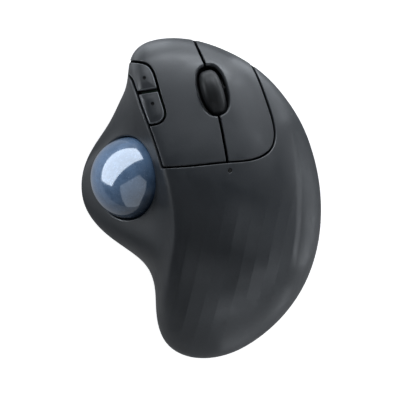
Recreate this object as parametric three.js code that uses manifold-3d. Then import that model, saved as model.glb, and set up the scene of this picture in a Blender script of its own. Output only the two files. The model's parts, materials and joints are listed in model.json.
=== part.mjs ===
// Thumb-operated trackball mouse for the right hand, built as an assembly of separate parts.
// Millimetres, +Z up, +Y towards the fingertips, +X to the little finger's side.
// The origin is on the desk, under the middle of the outline.
import * as THREE from "three";
import { mergeVertices } from "three/addons/utils/BufferGeometryUtils.js";
import Module from "manifold-3d";

const wasm = await Module();
wasm.setup();

// ---------------------------------------------------------------- driving dimensions
const WALL = 2.0; // thickness of the moulded shells
const GAP = 0.8; // width of the seams between the keys and the shell
const BUTTON_GAP = 1.1; // wider seam across the two side buttons
const FLOOR_BOTTOM = 1.0; // underside of the base, held off the desk by the feet
const FLOOR_TOP = 3.0;
const PARTING = 5.6; // height of the line between the base and the upper shell
const KEY_LIP = 7.2; // lowest edge of the key plates, clear of the base when pressed
const CENTRE = [3, -8]; // pole of the outline's polar form

const BALL_RADIUS = 17;
const BALL = new THREE.Vector3(-29, 8.3, 20.5);
const SOCKET_CLEARANCE = 0.6;
const CAGE_INNER = 17.9;
const CAGE_OUTER = 19.2;
const EJECT_RADIUS = 5.5;

const WHEEL_RADIUS = 11.5;
const WHEEL_HALF_WIDTH = 4.85;
const WHEEL_X = 4.9; // the axle lies behind the middle of the slot, as the keys slope down to the front
const WHEEL_Y = 41.6;
const WHEEL_Z = 22;
const SLOT_X = 4.6;
const SLOT_Y = 44.6;
const WHEEL_TURN = THREE.MathUtils.degToRad(15.9); // the fingers point a little to the left
const SLOT_HALF_LENGTH = 10.8;
const SLOT_HALF_WIDTH = 6.1;
const CRADLE_PIVOT_Y = -17; // from the wheel's axle, along the wheel's own direction
const CRADLE_PIVOT_Z = 14;

const BOARD_BOTTOM = 7.0;
const BOARD_TOP = 8.2;
const BATTERY_X = 11;
const BATTERY_RADIUS = 7.1;
const BATTERY_LENGTH = 50.5;
const BATTERY_BACK = -45;
const BATTERY_Z = 11.4;
const DOOR_LEFT = -8;
const DOOR_RIGHT = 21;
const DOOR_FRONT = 8;

// ---------------------------------------------------------------- colours
const finish = (color, roughness, metalness = 0) =>
  new THREE.MeshStandardMaterial({ color, roughness, metalness });
const GRAPHITE = finish(0x3a3d41, 0.55);
const GRAPHITE_DARK = finish(0x24262a, 0.6);
const RUBBER = finish(0x26282b, 0.8);
const BALL_BLUE = finish(0x5d789e, 0.15, 0.3);
const NYLON = finish(0x1c1d1f, 0.5);
const CERAMIC = finish(0xd9d4c8, 0.2);
const BOARD_GREEN = finish(0x1f4a33, 0.6);
const STEEL = finish(0xb5b8bc, 0.3, 1);
const CLEAR = finish(0xcfd8de, 0.1);
const CELL_WRAP = finish(0x2b2c30, 0.4);
const COPPER = finish(0xb08a4a, 0.35, 1);
const SWITCH_WHITE = finish(0xd8d8d4, 0.5);

// ---------------------------------------------------------------- smooth curves
// Solves the linear system a·x = b by elimination.
function solve(a, b) {
  const n = b.length;
  for (let i = 0; i < n; i++) {
    let p = i;
    for (let r = i + 1; r < n; r++) if (Math.abs(a[r][i]) > Math.abs(a[p][i])) p = r;
    [a[i], a[p]] = [a[p], a[i]];
    [b[i], b[p]] = [b[p], b[i]];
    for (let r = i + 1; r < n; r++) {
      const k = a[r][i] / a[i][i];
      for (let c = i; c < n; c++) a[r][c] -= k * a[i][c];
      b[r] -= k * b[i];
    }
  }
  for (let i = n - 1; i >= 0; i--) {
    for (let c = i + 1; c < n; c++) b[i] -= a[i][c] * b[c];
    b[i] /= a[i][i];
  }
  return b;
}

// Cubic spline through [x, y] points in rising x: natural at its ends, or closed over a period.
function spline(points, period = 0) {
  const closed = period > 0;
  const n = points.length;
  const x = points.map((p) => p[0]);
  const y = points.map((p) => p[1]);
  if (closed) {
    x.push(x[0] + period);
    y.push(y[0]);
  }
  const a = Array.from({ length: n }, () => new Array(n).fill(0));
  const b = new Array(n).fill(0);
  for (let i = 0; i < n; i++) {
    if (!closed && (i === 0 || i === n - 1)) {
      a[i][i] = 1;
      continue;
    }
    const before = i === 0 ? n - 1 : i - 1;
    const after = (i + 1) % n;
    const h0 = i === 0 ? x[n] - x[n - 1] : x[i] - x[i - 1];
    const h1 = x[i + 1] - x[i];
    a[i][before] += h0;
    a[i][i] += 2 * (h0 + h1);
    a[i][after] += h1;
    b[i] = 6 * ((y[i + 1] - y[i]) / h1 - (y[i] - y[before]) / h0);
  }
  const m = solve(a, b);
  if (closed) m.push(m[0]);
  return (t) => {
    if (closed) t = x[0] + ((((t - x[0]) % period) + period) % period);
    let i = 0;
    while (i < x.length - 2 && t > x[i + 1]) i++;
    const h = x[i + 1] - x[i];
    const u = Math.min(Math.max((x[i + 1] - t) / h, 0), 1);
    const v = 1 - u;
    return (
      u * y[i] + v * y[i + 1] + ((u ** 3 - u) * m[i] + (v ** 3 - v) * m[i + 1]) * (h * h / 6)
    );
  };
}

// ---------------------------------------------------------------- the sculpted outer surface
// Plan outline at the parting line, anticlockwise from the right.
const OUTLINE = [
  [50, -6], [49, 8], [46.2, 20], [41.4, 32], [35, 42], [28, 50], [19, 57], [8, 62.6], [-3, 66],
  [-12, 66.9], [-20, 66], [-26.6, 62.8], [-30, 56.9], [-31, 49.5], [-33.4, 42], [-38.3, 32],
  [-44.4, 22.6], [-48.7, 14], [-50.2, 5], [-48.6, -3.6], [-42.8, -12.2], [-34, -19.4],
  [-25.2, -26], [-20.5, -33.4], [-19.2, -41.5], [-18.6, -50.4], [-15.9, -58.8], [-9, -65],
  [1, -67], [13, -64.6], [24.5, -58], [35, -48.2], [43.2, -35.8], [48.3, -21.2],
];
const outlineRadius = spline(
  OUTLINE.map(([x, y]) => {
    const angle = Math.atan2(y - CENTRE[1], x - CENTRE[0]);
    return [angle < -0.01 ? angle + 2 * Math.PI : angle, Math.hypot(x - CENTRE[0], y - CENTRE[1])];
  }).sort((p, q) => p[0] - q[0]),
  2 * Math.PI,
);

// Plan line of the crease between the palm and the thumb's side, as x at each y.
const ridgeX = spline([
  [-66, -27], [-54, -22.4], [-44, -17.7], [-29, -13.4], [-11, -11.8], [2, -13.6], [12, -16],
  [24, -19.8], [37, -24.7], [51, -29.7], [60, -33], [70, -37],
]);
// Height of the crest of the palm, and where it lies across.
const crestHeight = spline([
  [-70, 17], [-60, 26.5], [-48, 36], [-35, 43], [-22, 46.9], [-9, 48], [4, 46.8], [18, 42.6],
  [32, 36.3], [46, 29.8], [58, 24.4], [70, 18.5],
]);
const crestX = spline([[-70, 8], [-40, 3], [0, -6], [35, -13], [70, -18]]);
// How much the palm falls away to the right, front to back.
const rightFall = spline([[-70, 0.8], [-40, 1], [0, 1], [30, 0.82], [60, 0.62]]);
// Depth of the steep wall just under the crease, front to back.
const wallDrop = spline([[-60, 3], [-40, 5.5], [-15, 8.5], [8, 10.5], [24, 7.5], [40, 3], [60, 1]]);
const WALL_RUN = 4; // how far the steep wall reaches out
const SCOOP_SLOPE = 0.8; // slope of the thumb's scoop beyond the wall
const CREASE = 1.2; // softness of the crease

const softPart = (t) => 0.5 * (t + Math.sqrt(t * t + CREASE * CREASE));

// Height of the palm and scoop before the edges roll down.
function domeHeight(x, y) {
  const ridge = ridgeX(y);
  const inside = ridge + softPart(x - ridge);
  const outside = softPart(ridge - x);
  const across = (inside - crestX(y)) / 40;
  const palm = crestHeight(y) - rightFall(y) * (11 * across ** 2 + 3 * across ** 4);
  return palm - wallDrop(y) * (1 - Math.exp(-outside / WALL_RUN)) - SCOOP_SLOPE * outside;
}

// How tightly the edge rolls down: a high power is a tight shoulder.
const shoulder = spline(
  [[0, 6.5], [0.9, 8], [1.7, 10], [2.5, 13], [3.1, 14], [3.7, 11], [4.25, 8], [4.75, 5], [5.5, 5.5]],
  2 * Math.PI,
);
const edgeRoll = (s, angle) => Math.sqrt(Math.max(0, 1 - s ** shoulder(angle)));

// Height of the finished outer surface at a point in plan.
function surfaceHeight(x, y) {
  const angle = Math.atan2(y - CENTRE[1], x - CENTRE[0]);
  const s = Math.hypot(x - CENTRE[0], y - CENTRE[1]) / outlineRadius(angle);
  return PARTING + (domeHeight(x, y) - PARTING) * edgeRoll(Math.min(s, 1), angle);
}

// ---------------------------------------------------------------- solids
// A closed three.js geometry as a manifold-3d solid.
function solid(geometry, matrix) {
  let g = geometry.clone();
  for (const name of Object.keys(g.attributes)) if (name !== "position") g.deleteAttribute(name);
  if (matrix) g.applyMatrix4(matrix);
  g = mergeVertices(g, 1e-4);
  return new wasm.Manifold(
    new wasm.Mesh({
      numProp: 3,
      vertProperties: new Float32Array(g.attributes.position.array),
      triVerts: new Uint32Array(g.index.array),
    }),
  );
}

const at = (x, y, z) => new THREE.Matrix4().makeTranslation(x, y, z);

function block(x0, x1, y0, y1, z0, z1) {
  const g = new THREE.BoxGeometry(x1 - x0, y1 - y0, z1 - z0);
  return solid(g, at((x0 + x1) / 2, (y0 + y1) / 2, (z0 + z1) / 2));
}

// Upright round bar, or a cone where two radii are given.
function bar(radius, x, y, z0, z1, sides = 20, topRadius = radius) {
  const g = new THREE.CylinderGeometry(topRadius, radius, z1 - z0, sides);
  g.rotateX(Math.PI / 2);
  return solid(g, at(x, y, (z0 + z1) / 2));
}

// Round bar lying along X.
function crossBar(radius, x0, x1, y, z, sides = 20) {
  const g = new THREE.CylinderGeometry(radius, radius, x1 - x0, sides);
  g.rotateZ(Math.PI / 2);
  return solid(g, at((x0 + x1) / 2, y, z));
}

function sphere(radius, centre, across = 36, down = 20) {
  return solid(new THREE.SphereGeometry(radius, across, down), at(centre.x, centre.y, centre.z));
}

// Upright prism over a plan outline.
function prism(points, z0, z1) {
  const shape = new THREE.Shape(points.map(([x, y]) => new THREE.Vector2(x, y)));
  return solid(new THREE.ExtrudeGeometry(shape, { depth: z1 - z0, bevelEnabled: false }), at(0, 0, z0));
}

// Solid of revolution about Z from a closed [radius, height] profile.
function turned(profile, matrix, sides = 28) {
  return solid(
    new THREE.LatheGeometry(profile.map(([r, z]) => new THREE.Vector2(r, z)), sides)
      .rotateX(Math.PI / 2),
    matrix,
  );
}

// Round wire of few sides along a curve.
function wire(curve, radius, steps, sides = 6) {
  const ring = new THREE.Shape();
  ring.absarc(0, 0, radius, 0, 2 * Math.PI);
  const points = ring.getSpacedPoints(sides).slice(0, sides);
  return solid(
    new THREE.ExtrudeGeometry(new THREE.Shape(points), { steps, extrudePath: curve, bevelEnabled: false }),
  );
}

const union = (...list) => list.reduce((a, b) => a.add(b));
const cut = (from, ...list) => list.reduce((a, b) => a.subtract(b), from);

const model = new THREE.Group();
model.name = "trackball_mouse";

// Adds a solid to a group as a named mesh.
function put(name, shape, material, group = model) {
  const m = shape.getMesh();
  const positions = new Float32Array(m.numVert * 3);
  for (let i = 0; i < m.numVert; i++) {
    positions.set(m.vertProperties.subarray(i * m.numProp, i * m.numProp + 3), i * 3);
  }
  const g = new THREE.BufferGeometry();
  g.setAttribute("position", new THREE.BufferAttribute(positions, 3));
  g.setIndex(new THREE.BufferAttribute(new Uint32Array(m.triVerts), 1));
  g.computeVertexNormals();
  const mesh = new THREE.Mesh(g, material);
  mesh.name = name;
  group.add(mesh);
  return mesh;
}

// ---------------------------------------------------------------- body solids from the surface
const AROUND = 72;
const EDGE_STEPS = [0.9, 0.78, 0.62, 0.43, 0.22, 0]; // heights of the rolled edge, as shares of the dome's
const TO_CREASE = [0.3, 0.58, 0.8, 1]; // rings from the pole to the crease
const FROM_CREASE = [0.16, 0.42, 0.7]; // and from the crease to the rolled edge

// Angles of equal steps along the outline.
const ANGLES = (() => {
  const fine = Array.from({ length: 1441 }, (_, i) => (i / 1440) * 2 * Math.PI);
  const run = [0];
  for (let i = 1; i < fine.length; i++) {
    const r0 = outlineRadius(fine[i - 1]);
    const r1 = outlineRadius(fine[i]);
    run.push(run[i - 1] + Math.hypot(r1 - r0, r1 * (fine[i] - fine[i - 1])));
  }
  return Array.from({ length: AROUND }, (_, k) => {
    const want = (run[1440] * k) / AROUND;
    const i = Math.max(1, run.findIndex((v) => v >= want));
    return fine[i - 1] + ((want - run[i - 1]) / (run[i] - run[i - 1])) * (fine[i] - fine[i - 1]);
  });
})();

const edgeShare = (e, angle) => (1 - e * e) ** (1 / shoulder(angle));

// Share of the outline's radius where a ray from the pole crosses the crease, kept inside the rolled edge.
function creaseShare(angle) {
  const most = edgeShare(EDGE_STEPS[0], angle) - 0.12;
  const beyond = (share) => {
    const r = share * outlineRadius(angle);
    const y = CENTRE[1] + r * Math.sin(angle);
    return ridgeX(y) > CENTRE[0] + r * Math.cos(angle);
  };
  if (Math.cos(angle) > 0.3) return 0.5;
  if (!beyond(most)) return most;
  let low = 0;
  let high = most;
  for (let i = 0; i < 30; i++) {
    const middle = (low + high) / 2;
    if (beyond(middle)) high = middle;
    else low = middle;
  }
  return high;
}
const CREASES = (() => {
  const raw = ANGLES.map(creaseShare);
  // Evens out the jumps where the rays miss the crease.
  return raw.map((c, i) => {
    const near = [-2, -1, 1, 2].map((k) => raw[(i + k + AROUND) % AROUND]);
    const mean = (near.reduce((a, b) => a + b) + c) / 5;
    return Math.abs(mean - c) > 0.06 || Math.cos(ANGLES[i]) > -0.1 ? mean : c;
  });
})();

// Points of the outer surface: rings from the pole out to the parting line.
function surfaceRings() {
  const ring = (share) =>
    ANGLES.map((angle, i) => {
      const radius = share(angle, CREASES[i]) * outlineRadius(angle);
      const x = CENTRE[0] + radius * Math.cos(angle);
      const y = CENTRE[1] + radius * Math.sin(angle);
      return new THREE.Vector3(x, y, surfaceHeight(x, y));
    });
  return [
    ...TO_CREASE.map((t) => ring((angle, crease) => crease * t)),
    ...FROM_CREASE.map((t) =>
      ring((angle, crease) => crease + (edgeShare(EDGE_STEPS[0], angle) - crease) * t),
    ),
    ...EDGE_STEPS.map((e) => ring((angle) => edgeShare(e, angle))),
  ];
}

// Closed solid under the outer surface, moved in by an inset along the surface's own normals.
function bodySolid(inset, bottom) {
  const rings = surfaceRings();
  const pole = new THREE.Vector3(CENTRE[0], CENTRE[1], surfaceHeight(...CENTRE));
  const moved = rings.map((ring, k) =>
    ring.map((p, i) => {
      const along = ring[(i + 1) % AROUND].clone().sub(ring[(i + AROUND - 1) % AROUND]);
      const inner = k ? rings[k - 1][i] : pole;
      const outer = k < rings.length - 1 ? rings[k + 1][i] : null;
      const across = outer ? outer.clone().sub(inner) : new THREE.Vector3(0, 0, -1);
      const normal = across.cross(along).normalize();
      return p.clone().addScaledVector(normal, -inset);
    }),
  );
  const points = [pole.clone().setZ(pole.z - inset), ...moved.flat()];
  const foot = moved[moved.length - 1].map((p) => p.clone().setZ(bottom));
  points.push(...foot, new THREE.Vector3(CENTRE[0], CENTRE[1], bottom));
  const index = [];
  const id = (k, i) => 1 + k * AROUND + (i % AROUND);
  for (let i = 0; i < AROUND; i++) {
    index.push(0, id(0, i), id(0, i + 1));
    for (let k = 0; k < moved.length; k++) {
      index.push(id(k, i), id(k + 1, i), id(k + 1, i + 1), id(k, i), id(k + 1, i + 1), id(k, i + 1));
    }
    index.push(id(moved.length, i + 1), id(moved.length, i), points.length - 1);
  }
  const g = new THREE.BufferGeometry().setFromPoints(points);
  g.setIndex(index);
  return solid(g);
}

// Closed solid between levels given as [height, inset] pairs, following the outline.
function outlineSolid(levels) {
  const points = [];
  for (const [z, inset] of levels) {
    for (const angle of ANGLES) {
      const radius = outlineRadius(angle) - inset;
      points.push(
        new THREE.Vector3(CENTRE[0] + radius * Math.cos(angle), CENTRE[1] + radius * Math.sin(angle), z),
      );
    }
  }
  const low = points.length;
  points.push(new THREE.Vector3(...CENTRE, levels[0][0]));
  points.push(new THREE.Vector3(...CENTRE, levels[levels.length - 1][0]));
  const index = [];
  const id = (k, i) => k * AROUND + (i % AROUND);
  for (let i = 0; i < AROUND; i++) {
    index.push(low, id(0, i + 1), id(0, i));
    for (let k = 0; k < levels.length - 1; k++) {
      index.push(id(k, i), id(k, i + 1), id(k + 1, i + 1), id(k, i), id(k + 1, i + 1), id(k + 1, i));
    }
    index.push(low + 1, id(levels.length - 1, i), id(levels.length - 1, i + 1));
  }
  const g = new THREE.BufferGeometry().setFromPoints(points);
  g.setIndex(index);
  return solid(g);
}

// ---------------------------------------------------------------- seams
// Smooth open curve in plan through a few points.
const planCurve = (points, steps) =>
  new THREE.CatmullRomCurve3(points.map(([x, y]) => new THREE.Vector3(x, y, 0)), false, "centripetal")
    .getPoints(steps);

// Thin upright wall along a plan curve, which cuts a seam of that width.
function seam(points, width, steps = 24, bottom = KEY_LIP - 3) {
  const line = planCurve(points, steps);
  const side = (sign) =>
    line.map((p, i) => {
      const a = line[Math.max(i - 1, 0)];
      const b = line[Math.min(i + 1, line.length - 1)];
      const t = b.clone().sub(a).normalize();
      return [p.x - sign * t.y * (width / 2), p.y + sign * t.x * (width / 2)];
    });
  return prism([...side(-1), ...side(1).reverse()], bottom, 60);
}

const ridgePoint = (y, offset = 0) => [ridgeX(y) + offset, y];
const ridgeSeam = [[-33.5, 52.4], [-30, 50.2], ...[47, 39, 31, 24, 18, 12.4].map((y) => ridgePoint(y))];
const noseSeam = [[-36, 57], [-24.5, 56.1], [-24.5, 56.9], [-36, 57.8]]; // left key to thumb's side
const rearSeam = [ridgePoint(12.4, -0.3), [-4.8, 13.1], [10.6, 14.7], [18.6, 15.4], [24.4, 17],
  [28.6, 20.2], [30.3, 25], [29.6, 32], [27.2, 40], [23.4, 50.6], [19, 60], [16, 66]];
const middleSeam = [[-5.6, 72], [-3.1, 66.2], [0, 58.9], [3.4, 50], [5, 42], [7.2, 33.6], [8.9, 25.2],
  [10.7, 14.6]];
const BUTTON_BOTTOM = 13; // the thumb-side wall carries on below the buttons
const buttonSeam = [[-36, 57.4], [-31, 57], [-25.9, 56.4], [-22.2, 55.1], [-20, 52.2], [-17.7, 44.8],
  [-15.6, 38], [-15, 34], [-17, 31], ridgePoint(29.8, -0.3)];
const buttonSplit = [ridgePoint(43.2, -0.4), [-17.4, 44.9]];

// Wheel slot: a long oval along the wheel's own direction.
function ovalPoints(halfWidth, halfLength, count = 32, power = 2.6) {
  return Array.from({ length: count }, (_, i) => {
    const a = (i / count) * 2 * Math.PI;
    const round = (v) => Math.sign(v) * Math.abs(v) ** (2 / power);
    return [halfWidth * round(Math.cos(a)), halfLength * round(Math.sin(a))];
  });
}
function turnPlan(points, x, y, angle) {
  const c = Math.cos(angle);
  const s = Math.sin(angle);
  return points.map(([u, v]) => [x + u * c - v * s, y + u * s + v * c]);
}
const slotPlan = (grow) =>
  turnPlan(ovalPoints(SLOT_HALF_WIDTH + grow, SLOT_HALF_LENGTH + grow), SLOT_X, SLOT_Y, WHEEL_TURN);

// ---------------------------------------------------------------- upper shell, keys and side buttons
const outer = bodySolid(0, PARTING);
const hollow = bodySolid(WALL, PARTING - 1);
const skin = cut(outer, hollow);
const pieces = cut(
  skin,
  seam(ridgeSeam, GAP, 24, BUTTON_BOTTOM - GAP),
  seam(rearSeam, GAP, 24),
  seam(middleSeam, 1.0, 14),
  prism(noseSeam, KEY_LIP - 3, BUTTON_BOTTOM),
  seam(buttonSeam, BUTTON_GAP, 24, BUTTON_BOTTOM - GAP),
  seam(buttonSplit, BUTTON_GAP, 2, BUTTON_BOTTOM - GAP),
  prism(
    [[-36, 51.6], [-30.1, 50.4], [-28.6, 47.2], [-24, 47.2], [-24, 57.2], [-36, 57.2]],
    BUTTON_BOTTOM - GAP,
    BUTTON_BOTTOM,
  ),
  prism(slotPlan(0), KEY_LIP - 3, 60),
  sphere(BALL_RADIUS + SOCKET_CLEARANCE, BALL),
).decompose();

// The piece of skin that lies over a point in plan.
function pieceOver(x, y) {
  const probe = block(x - 0.5, x + 0.5, y - 0.5, y + 0.5, KEY_LIP, 60);
  const share = (piece) => piece.intersect(probe).volume();
  return pieces.reduce((best, piece) => (share(piece) > share(best) ? piece : best));
}

// Lowest height of the surface round a small plan box, for posts that join the skin from below.
const roofOver = (x, y, half) =>
  Math.min(...[-half, half].flatMap((dx) => [-half, half].map((dy) => surfaceHeight(x + dx, y + dy))));

const LEFT_SWITCH = [-12, 50];
const RIGHT_SWITCH = [17.6, 44];
const SWITCH_HEIGHT = 6.5;
const PLUNGER_TOP = BOARD_TOP + SWITCH_HEIGHT + 0.9;

// The wheel's own frame: Y along its rolling direction, X along its axle.
const wheelFrame = new THREE.Matrix4()
  .makeRotationZ(WHEEL_TURN)
  .setPosition(WHEEL_X, WHEEL_Y, 0);
const onWheel = (shape) => shape.transform(wheelFrame.elements);
const wheelRoom = onWheel(
  crossBar(WHEEL_RADIUS + 0.6, -WHEEL_HALF_WIDTH - 0.6, WHEEL_HALF_WIDTH + 0.6, 0, WHEEL_Z, 24),
);

function keyPlate(piece, [x, y]) {
  const leg = block(x - 1.5, x + 1.5, y - 2, y + 2, PLUNGER_TOP + 0.3, roofOver(x, y, 2) - 0.9);
  const trimmed = piece.subtract(block(-80, 80, -80, 80, 0, KEY_LIP));
  return trimmed.subtract(wheelRoom).add(leg);
}
put("left_key", keyPlate(pieceOver(-8, 30), LEFT_SWITCH), GRAPHITE);
put("right_key", keyPlate(pieceOver(20, 30), RIGHT_SWITCH), GRAPHITE);

const SIDE_BOARD_TOP = 15.2;
const TACT_HEIGHT = 3.4;
const TACT_PLUNGER = 0.8;
const FORWARD_BUTTON = [-22.8, 49.2];
const BACK_BUTTON = [-19.3, 37.4];
function sideButton(piece, [x, y]) {
  const foot = SIDE_BOARD_TOP + TACT_HEIGHT + TACT_PLUNGER + 0.3;
  return piece.add(bar(1.4, x, y, foot, roofOver(x, y, 1.4) - 0.9, 12));
}
put("forward_button", sideButton(pieceOver(-24, 50), FORWARD_BUTTON), GRAPHITE);
put("back_button", sideButton(pieceOver(-19.5, 38), BACK_BUTTON), GRAPHITE);

// Screw posts: x, y in plan. The upper half hangs from the shell, the lower half stands on the base.
const CASE_POSTS = [[-31.5, 31.5], [36.5, 12], [30, -36], [-13, -43.5]];
const POST_SPLIT = 10;
const hangingPosts = CASE_POSTS.map(([x, y]) =>
  cut(
    bar(3.1, x, y, POST_SPLIT + 0.3, roofOver(x, y, 2.6) - 1.1, 16),
    bar(1.4, x, y, POST_SPLIT, POST_SPLIT + 6, 12),
  ),
);
const LIGHT_PIPE = [11.6, 11.2];
put(
  "upper_shell",
  cut(union(pieceOver(5, -40), ...hangingPosts), bar(1.1, ...LIGHT_PIPE, 30, 60, 12)),
  GRAPHITE,
);
put("status_light_pipe", bar(0.75, ...LIGHT_PIPE, 34, surfaceHeight(...LIGHT_PIPE) - 0.15, 12), CLEAR);

// ---------------------------------------------------------------- base shell
const LIP_OUT = 3.0;
const LIP_IN = 4.2;
const LIP_TOP = 9;
const FEET = [[-21, 50, 6, 3.2, 0.5], [15.5, 48.5, 6, 3.2, -0.65], [-43.6, 4, 3, 6.5, 0.05],
  [-12.6, -53.6, 2.8, 6, 0.2], [39, -23, 2.8, 7, -0.3]];
const footPlan = ([x, y, w, l, turn], grow) => turnPlan(ovalPoints(w + grow, l + grow, 20, 2.4), x, y, turn);
const BOARD_POSTS = [[21.5, 27], [-11, 57.6]];
const CAGE_TABS = [78, 268].map((deg) => {
  const a = THREE.MathUtils.degToRad(deg);
  return [BALL.x + 21.6 * Math.cos(a), BALL.y + 21.6 * Math.sin(a)];
});
const CAGE_TAB_Z = 11;
const POWER = [-9.5, 38];
const CONNECT = [20, 38];

const screwHole = (x, y, top) => union(bar(1.5, x, y, 0, top, 12), bar(3.0, x, y, 0, FLOOR_TOP, 14));
const PIVOT_POST_X = 8.1;
const pivotPosts = [-1, 1].map((side) =>
  onWheel(
    cut(
      union(
        block(side * PIVOT_POST_X - 1.2, side * PIVOT_POST_X + 1.2, CRADLE_PIVOT_Y - 2.6,
          CRADLE_PIVOT_Y + 2.6, FLOOR_TOP - 0.5, CRADLE_PIVOT_Z),
        crossBar(2.6, side * PIVOT_POST_X - 1.2, side * PIVOT_POST_X + 1.2, CRADLE_PIVOT_Y,
          CRADLE_PIVOT_Z, 16),
      ),
      crossBar(1.35, side * PIVOT_POST_X - 2, side * PIVOT_POST_X + 2, CRADLE_PIVOT_Y,
        CRADLE_PIVOT_Z, 12),
    ),
  ),
);

const doorPlan = (grow) => [
  [DOOR_LEFT - grow, -80], [DOOR_RIGHT + grow, -80], [DOOR_RIGHT + grow, DOOR_FRONT + grow],
  [DOOR_LEFT - grow, DOOR_FRONT + grow],
];
const BASE_LEVELS = [[FLOOR_BOTTOM, 3.4], [1.25, 2.5], [2.1, 1.3], [3.4, 0.5], [PARTING - 0.4, 0.15]];
const basePlate = outlineSolid(BASE_LEVELS);
const baseHollow = outlineSolid([[FLOOR_TOP, 2.8], [PARTING + 1, 2.3]]);
const lip = cut(
  outlineSolid([[FLOOR_TOP - 0.5, LIP_OUT], [LIP_TOP, LIP_OUT]]),
  outlineSolid([[FLOOR_TOP - 1, LIP_IN], [LIP_TOP + 1, LIP_IN]]),
).intersect(bodySolid(WALL + 0.45, FLOOR_TOP - 1));
const standingPosts = union(
  ...CASE_POSTS.map(([x, y]) => bar(3.3, x, y, FLOOR_TOP - 0.5, POST_SPLIT, 16)),
  ...BOARD_POSTS.map(([x, y]) => bar(2.6, x, y, FLOOR_TOP - 0.5, BOARD_BOTTOM - 0.3, 14)),
  ...CAGE_TABS.map(([x, y]) => bar(2.6, x, y, FLOOR_TOP - 0.5, CAGE_TAB_Z - 0.3, 14)),
  bar(2.2, -25.2, 45, FLOOR_TOP - 0.5, SIDE_BOARD_TOP - 1.5, 12),
  bar(2.2, -20.2, 32.4, FLOOR_TOP - 0.5, SIDE_BOARD_TOP - 1.5, 12),
  ...pivotPosts,
);
put(
  "base_shell",
  cut(
    union(cut(basePlate, baseHollow), lip, standingPosts),
    bar(EJECT_RADIUS, BALL.x, BALL.y, 0, FLOOR_TOP + 1, 24),
    prism(doorPlan(0.4), 0, FLOOR_TOP + 0.3),
    ...FEET.map((f) => prism(footPlan(f, 0.35), 0, FLOOR_BOTTOM + 0.6)),
    ...CASE_POSTS.map(([x, y]) => screwHole(x, y, POST_SPLIT + 1)),
    ...BOARD_POSTS.map(([x, y]) => bar(1.3, x, y, FLOOR_TOP + 0.4, 12, 12)),
    ...CAGE_TABS.map(([x, y]) => bar(1.3, x, y, FLOOR_TOP + 1, 14, 12)),
    block(POWER[0] - 4, POWER[0] + 4, POWER[1] - 1.9, POWER[1] + 1.9, 0, FLOOR_TOP + 1),
    bar(2.7, ...CONNECT, 0, FLOOR_TOP + 1, 20),
  ),
  GRAPHITE_DARK,
);
FEET.forEach((f, i) => {
  const names = ["front_left", "front_right", "left", "rear_left", "right"];
  put(`foot_${names[i]}`, prism(footPlan(f, 0), 0, FLOOR_BOTTOM + 0.3), RUBBER);
});

// Slim screw with a pan head: head at the bottom, thread pointing up.
function screwUp(x, y, head, length) {
  return union(bar(2.5, x, y, head, head + 1.4, 14), bar(1.1, x, y, head + 1, head + length, 10));
}
CASE_POSTS.forEach(([x, y], i) => {
  put(`case_screw_${i + 1}`, screwUp(x, y, FLOOR_BOTTOM + 0.3, 12), STEEL);
});

// ---------------------------------------------------------------- battery bay
const doorBlank = outlineSolid([[FLOOR_BOTTOM + 0.05, 3.4], [1.3, 2.5], [2.1, 1.3], [FLOOR_TOP, 0.7]]);
put(
  "battery_door",
  union(
    doorBlank.intersect(prism(doorPlan(0), 0, FLOOR_TOP)),
    block(DOOR_LEFT + 3, DOOR_RIGHT - 3, DOOR_FRONT - 4, DOOR_FRONT - 2.8, FLOOR_TOP - 0.2, FLOOR_TOP + 0.2),
  ),
  GRAPHITE_DARK,
);
const batteryFrame = new THREE.Matrix4().makeRotationX(-Math.PI / 2).setPosition(BATTERY_X, 0, BATTERY_Z);
const alongY = (profile, sides = 24) => turned(profile, batteryFrame, sides);
const BATTERY_FRONT = BATTERY_BACK + BATTERY_LENGTH;
put(
  "battery_cell",
  alongY([
    [0, BATTERY_BACK], [4.5, BATTERY_BACK], [4.7, BATTERY_BACK + 0.4],
    [BATTERY_RADIUS, BATTERY_BACK + 0.4], [BATTERY_RADIUS, BATTERY_FRONT - 1.4],
    [2.75, BATTERY_FRONT - 1.2], [2.6, BATTERY_FRONT], [0, BATTERY_FRONT],
  ]),
  CELL_WRAP,
);
const TRAY_LEFT = BATTERY_X - BATTERY_RADIUS - 2.4;
const TRAY_RIGHT = BATTERY_X + BATTERY_RADIUS + 2.4;
const TRAY_BACK = BATTERY_BACK - 6.4;
const TRAY_FRONT = BATTERY_FRONT + 3.6;
const RECEIVER_X = -3.3;
put(
  "battery_tray",
  cut(
    union(
      block(TRAY_LEFT, TRAY_RIGHT, TRAY_BACK, TRAY_FRONT, FLOOR_TOP + 0.5, 20.6),
      block(RECEIVER_X - 5.2, TRAY_LEFT + 0.5, -34, -9, FLOOR_TOP + 0.5, 21),
    ),
    alongY([[0, BATTERY_BACK - 5], [BATTERY_RADIUS + 0.6, BATTERY_BACK - 5],
      [BATTERY_RADIUS + 0.6, BATTERY_FRONT + 2.2], [0, BATTERY_FRONT + 2.2]]),
    block(BATTERY_X - BATTERY_RADIUS - 0.6, BATTERY_X + BATTERY_RADIUS + 0.6, BATTERY_BACK - 5,
      BATTERY_FRONT + 2.2, 0, BATTERY_Z),
    block(RECEIVER_X - 3.6, RECEIVER_X + 3.6, -32.4, -10.6, 0, 19),
  ),
  NYLON,
);
put(
  "battery_contact_plus",
  block(BATTERY_X - 4.5, BATTERY_X + 4.5, BATTERY_FRONT + 0.5, BATTERY_FRONT + 1, 5, 16.4),
  COPPER,
);

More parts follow.
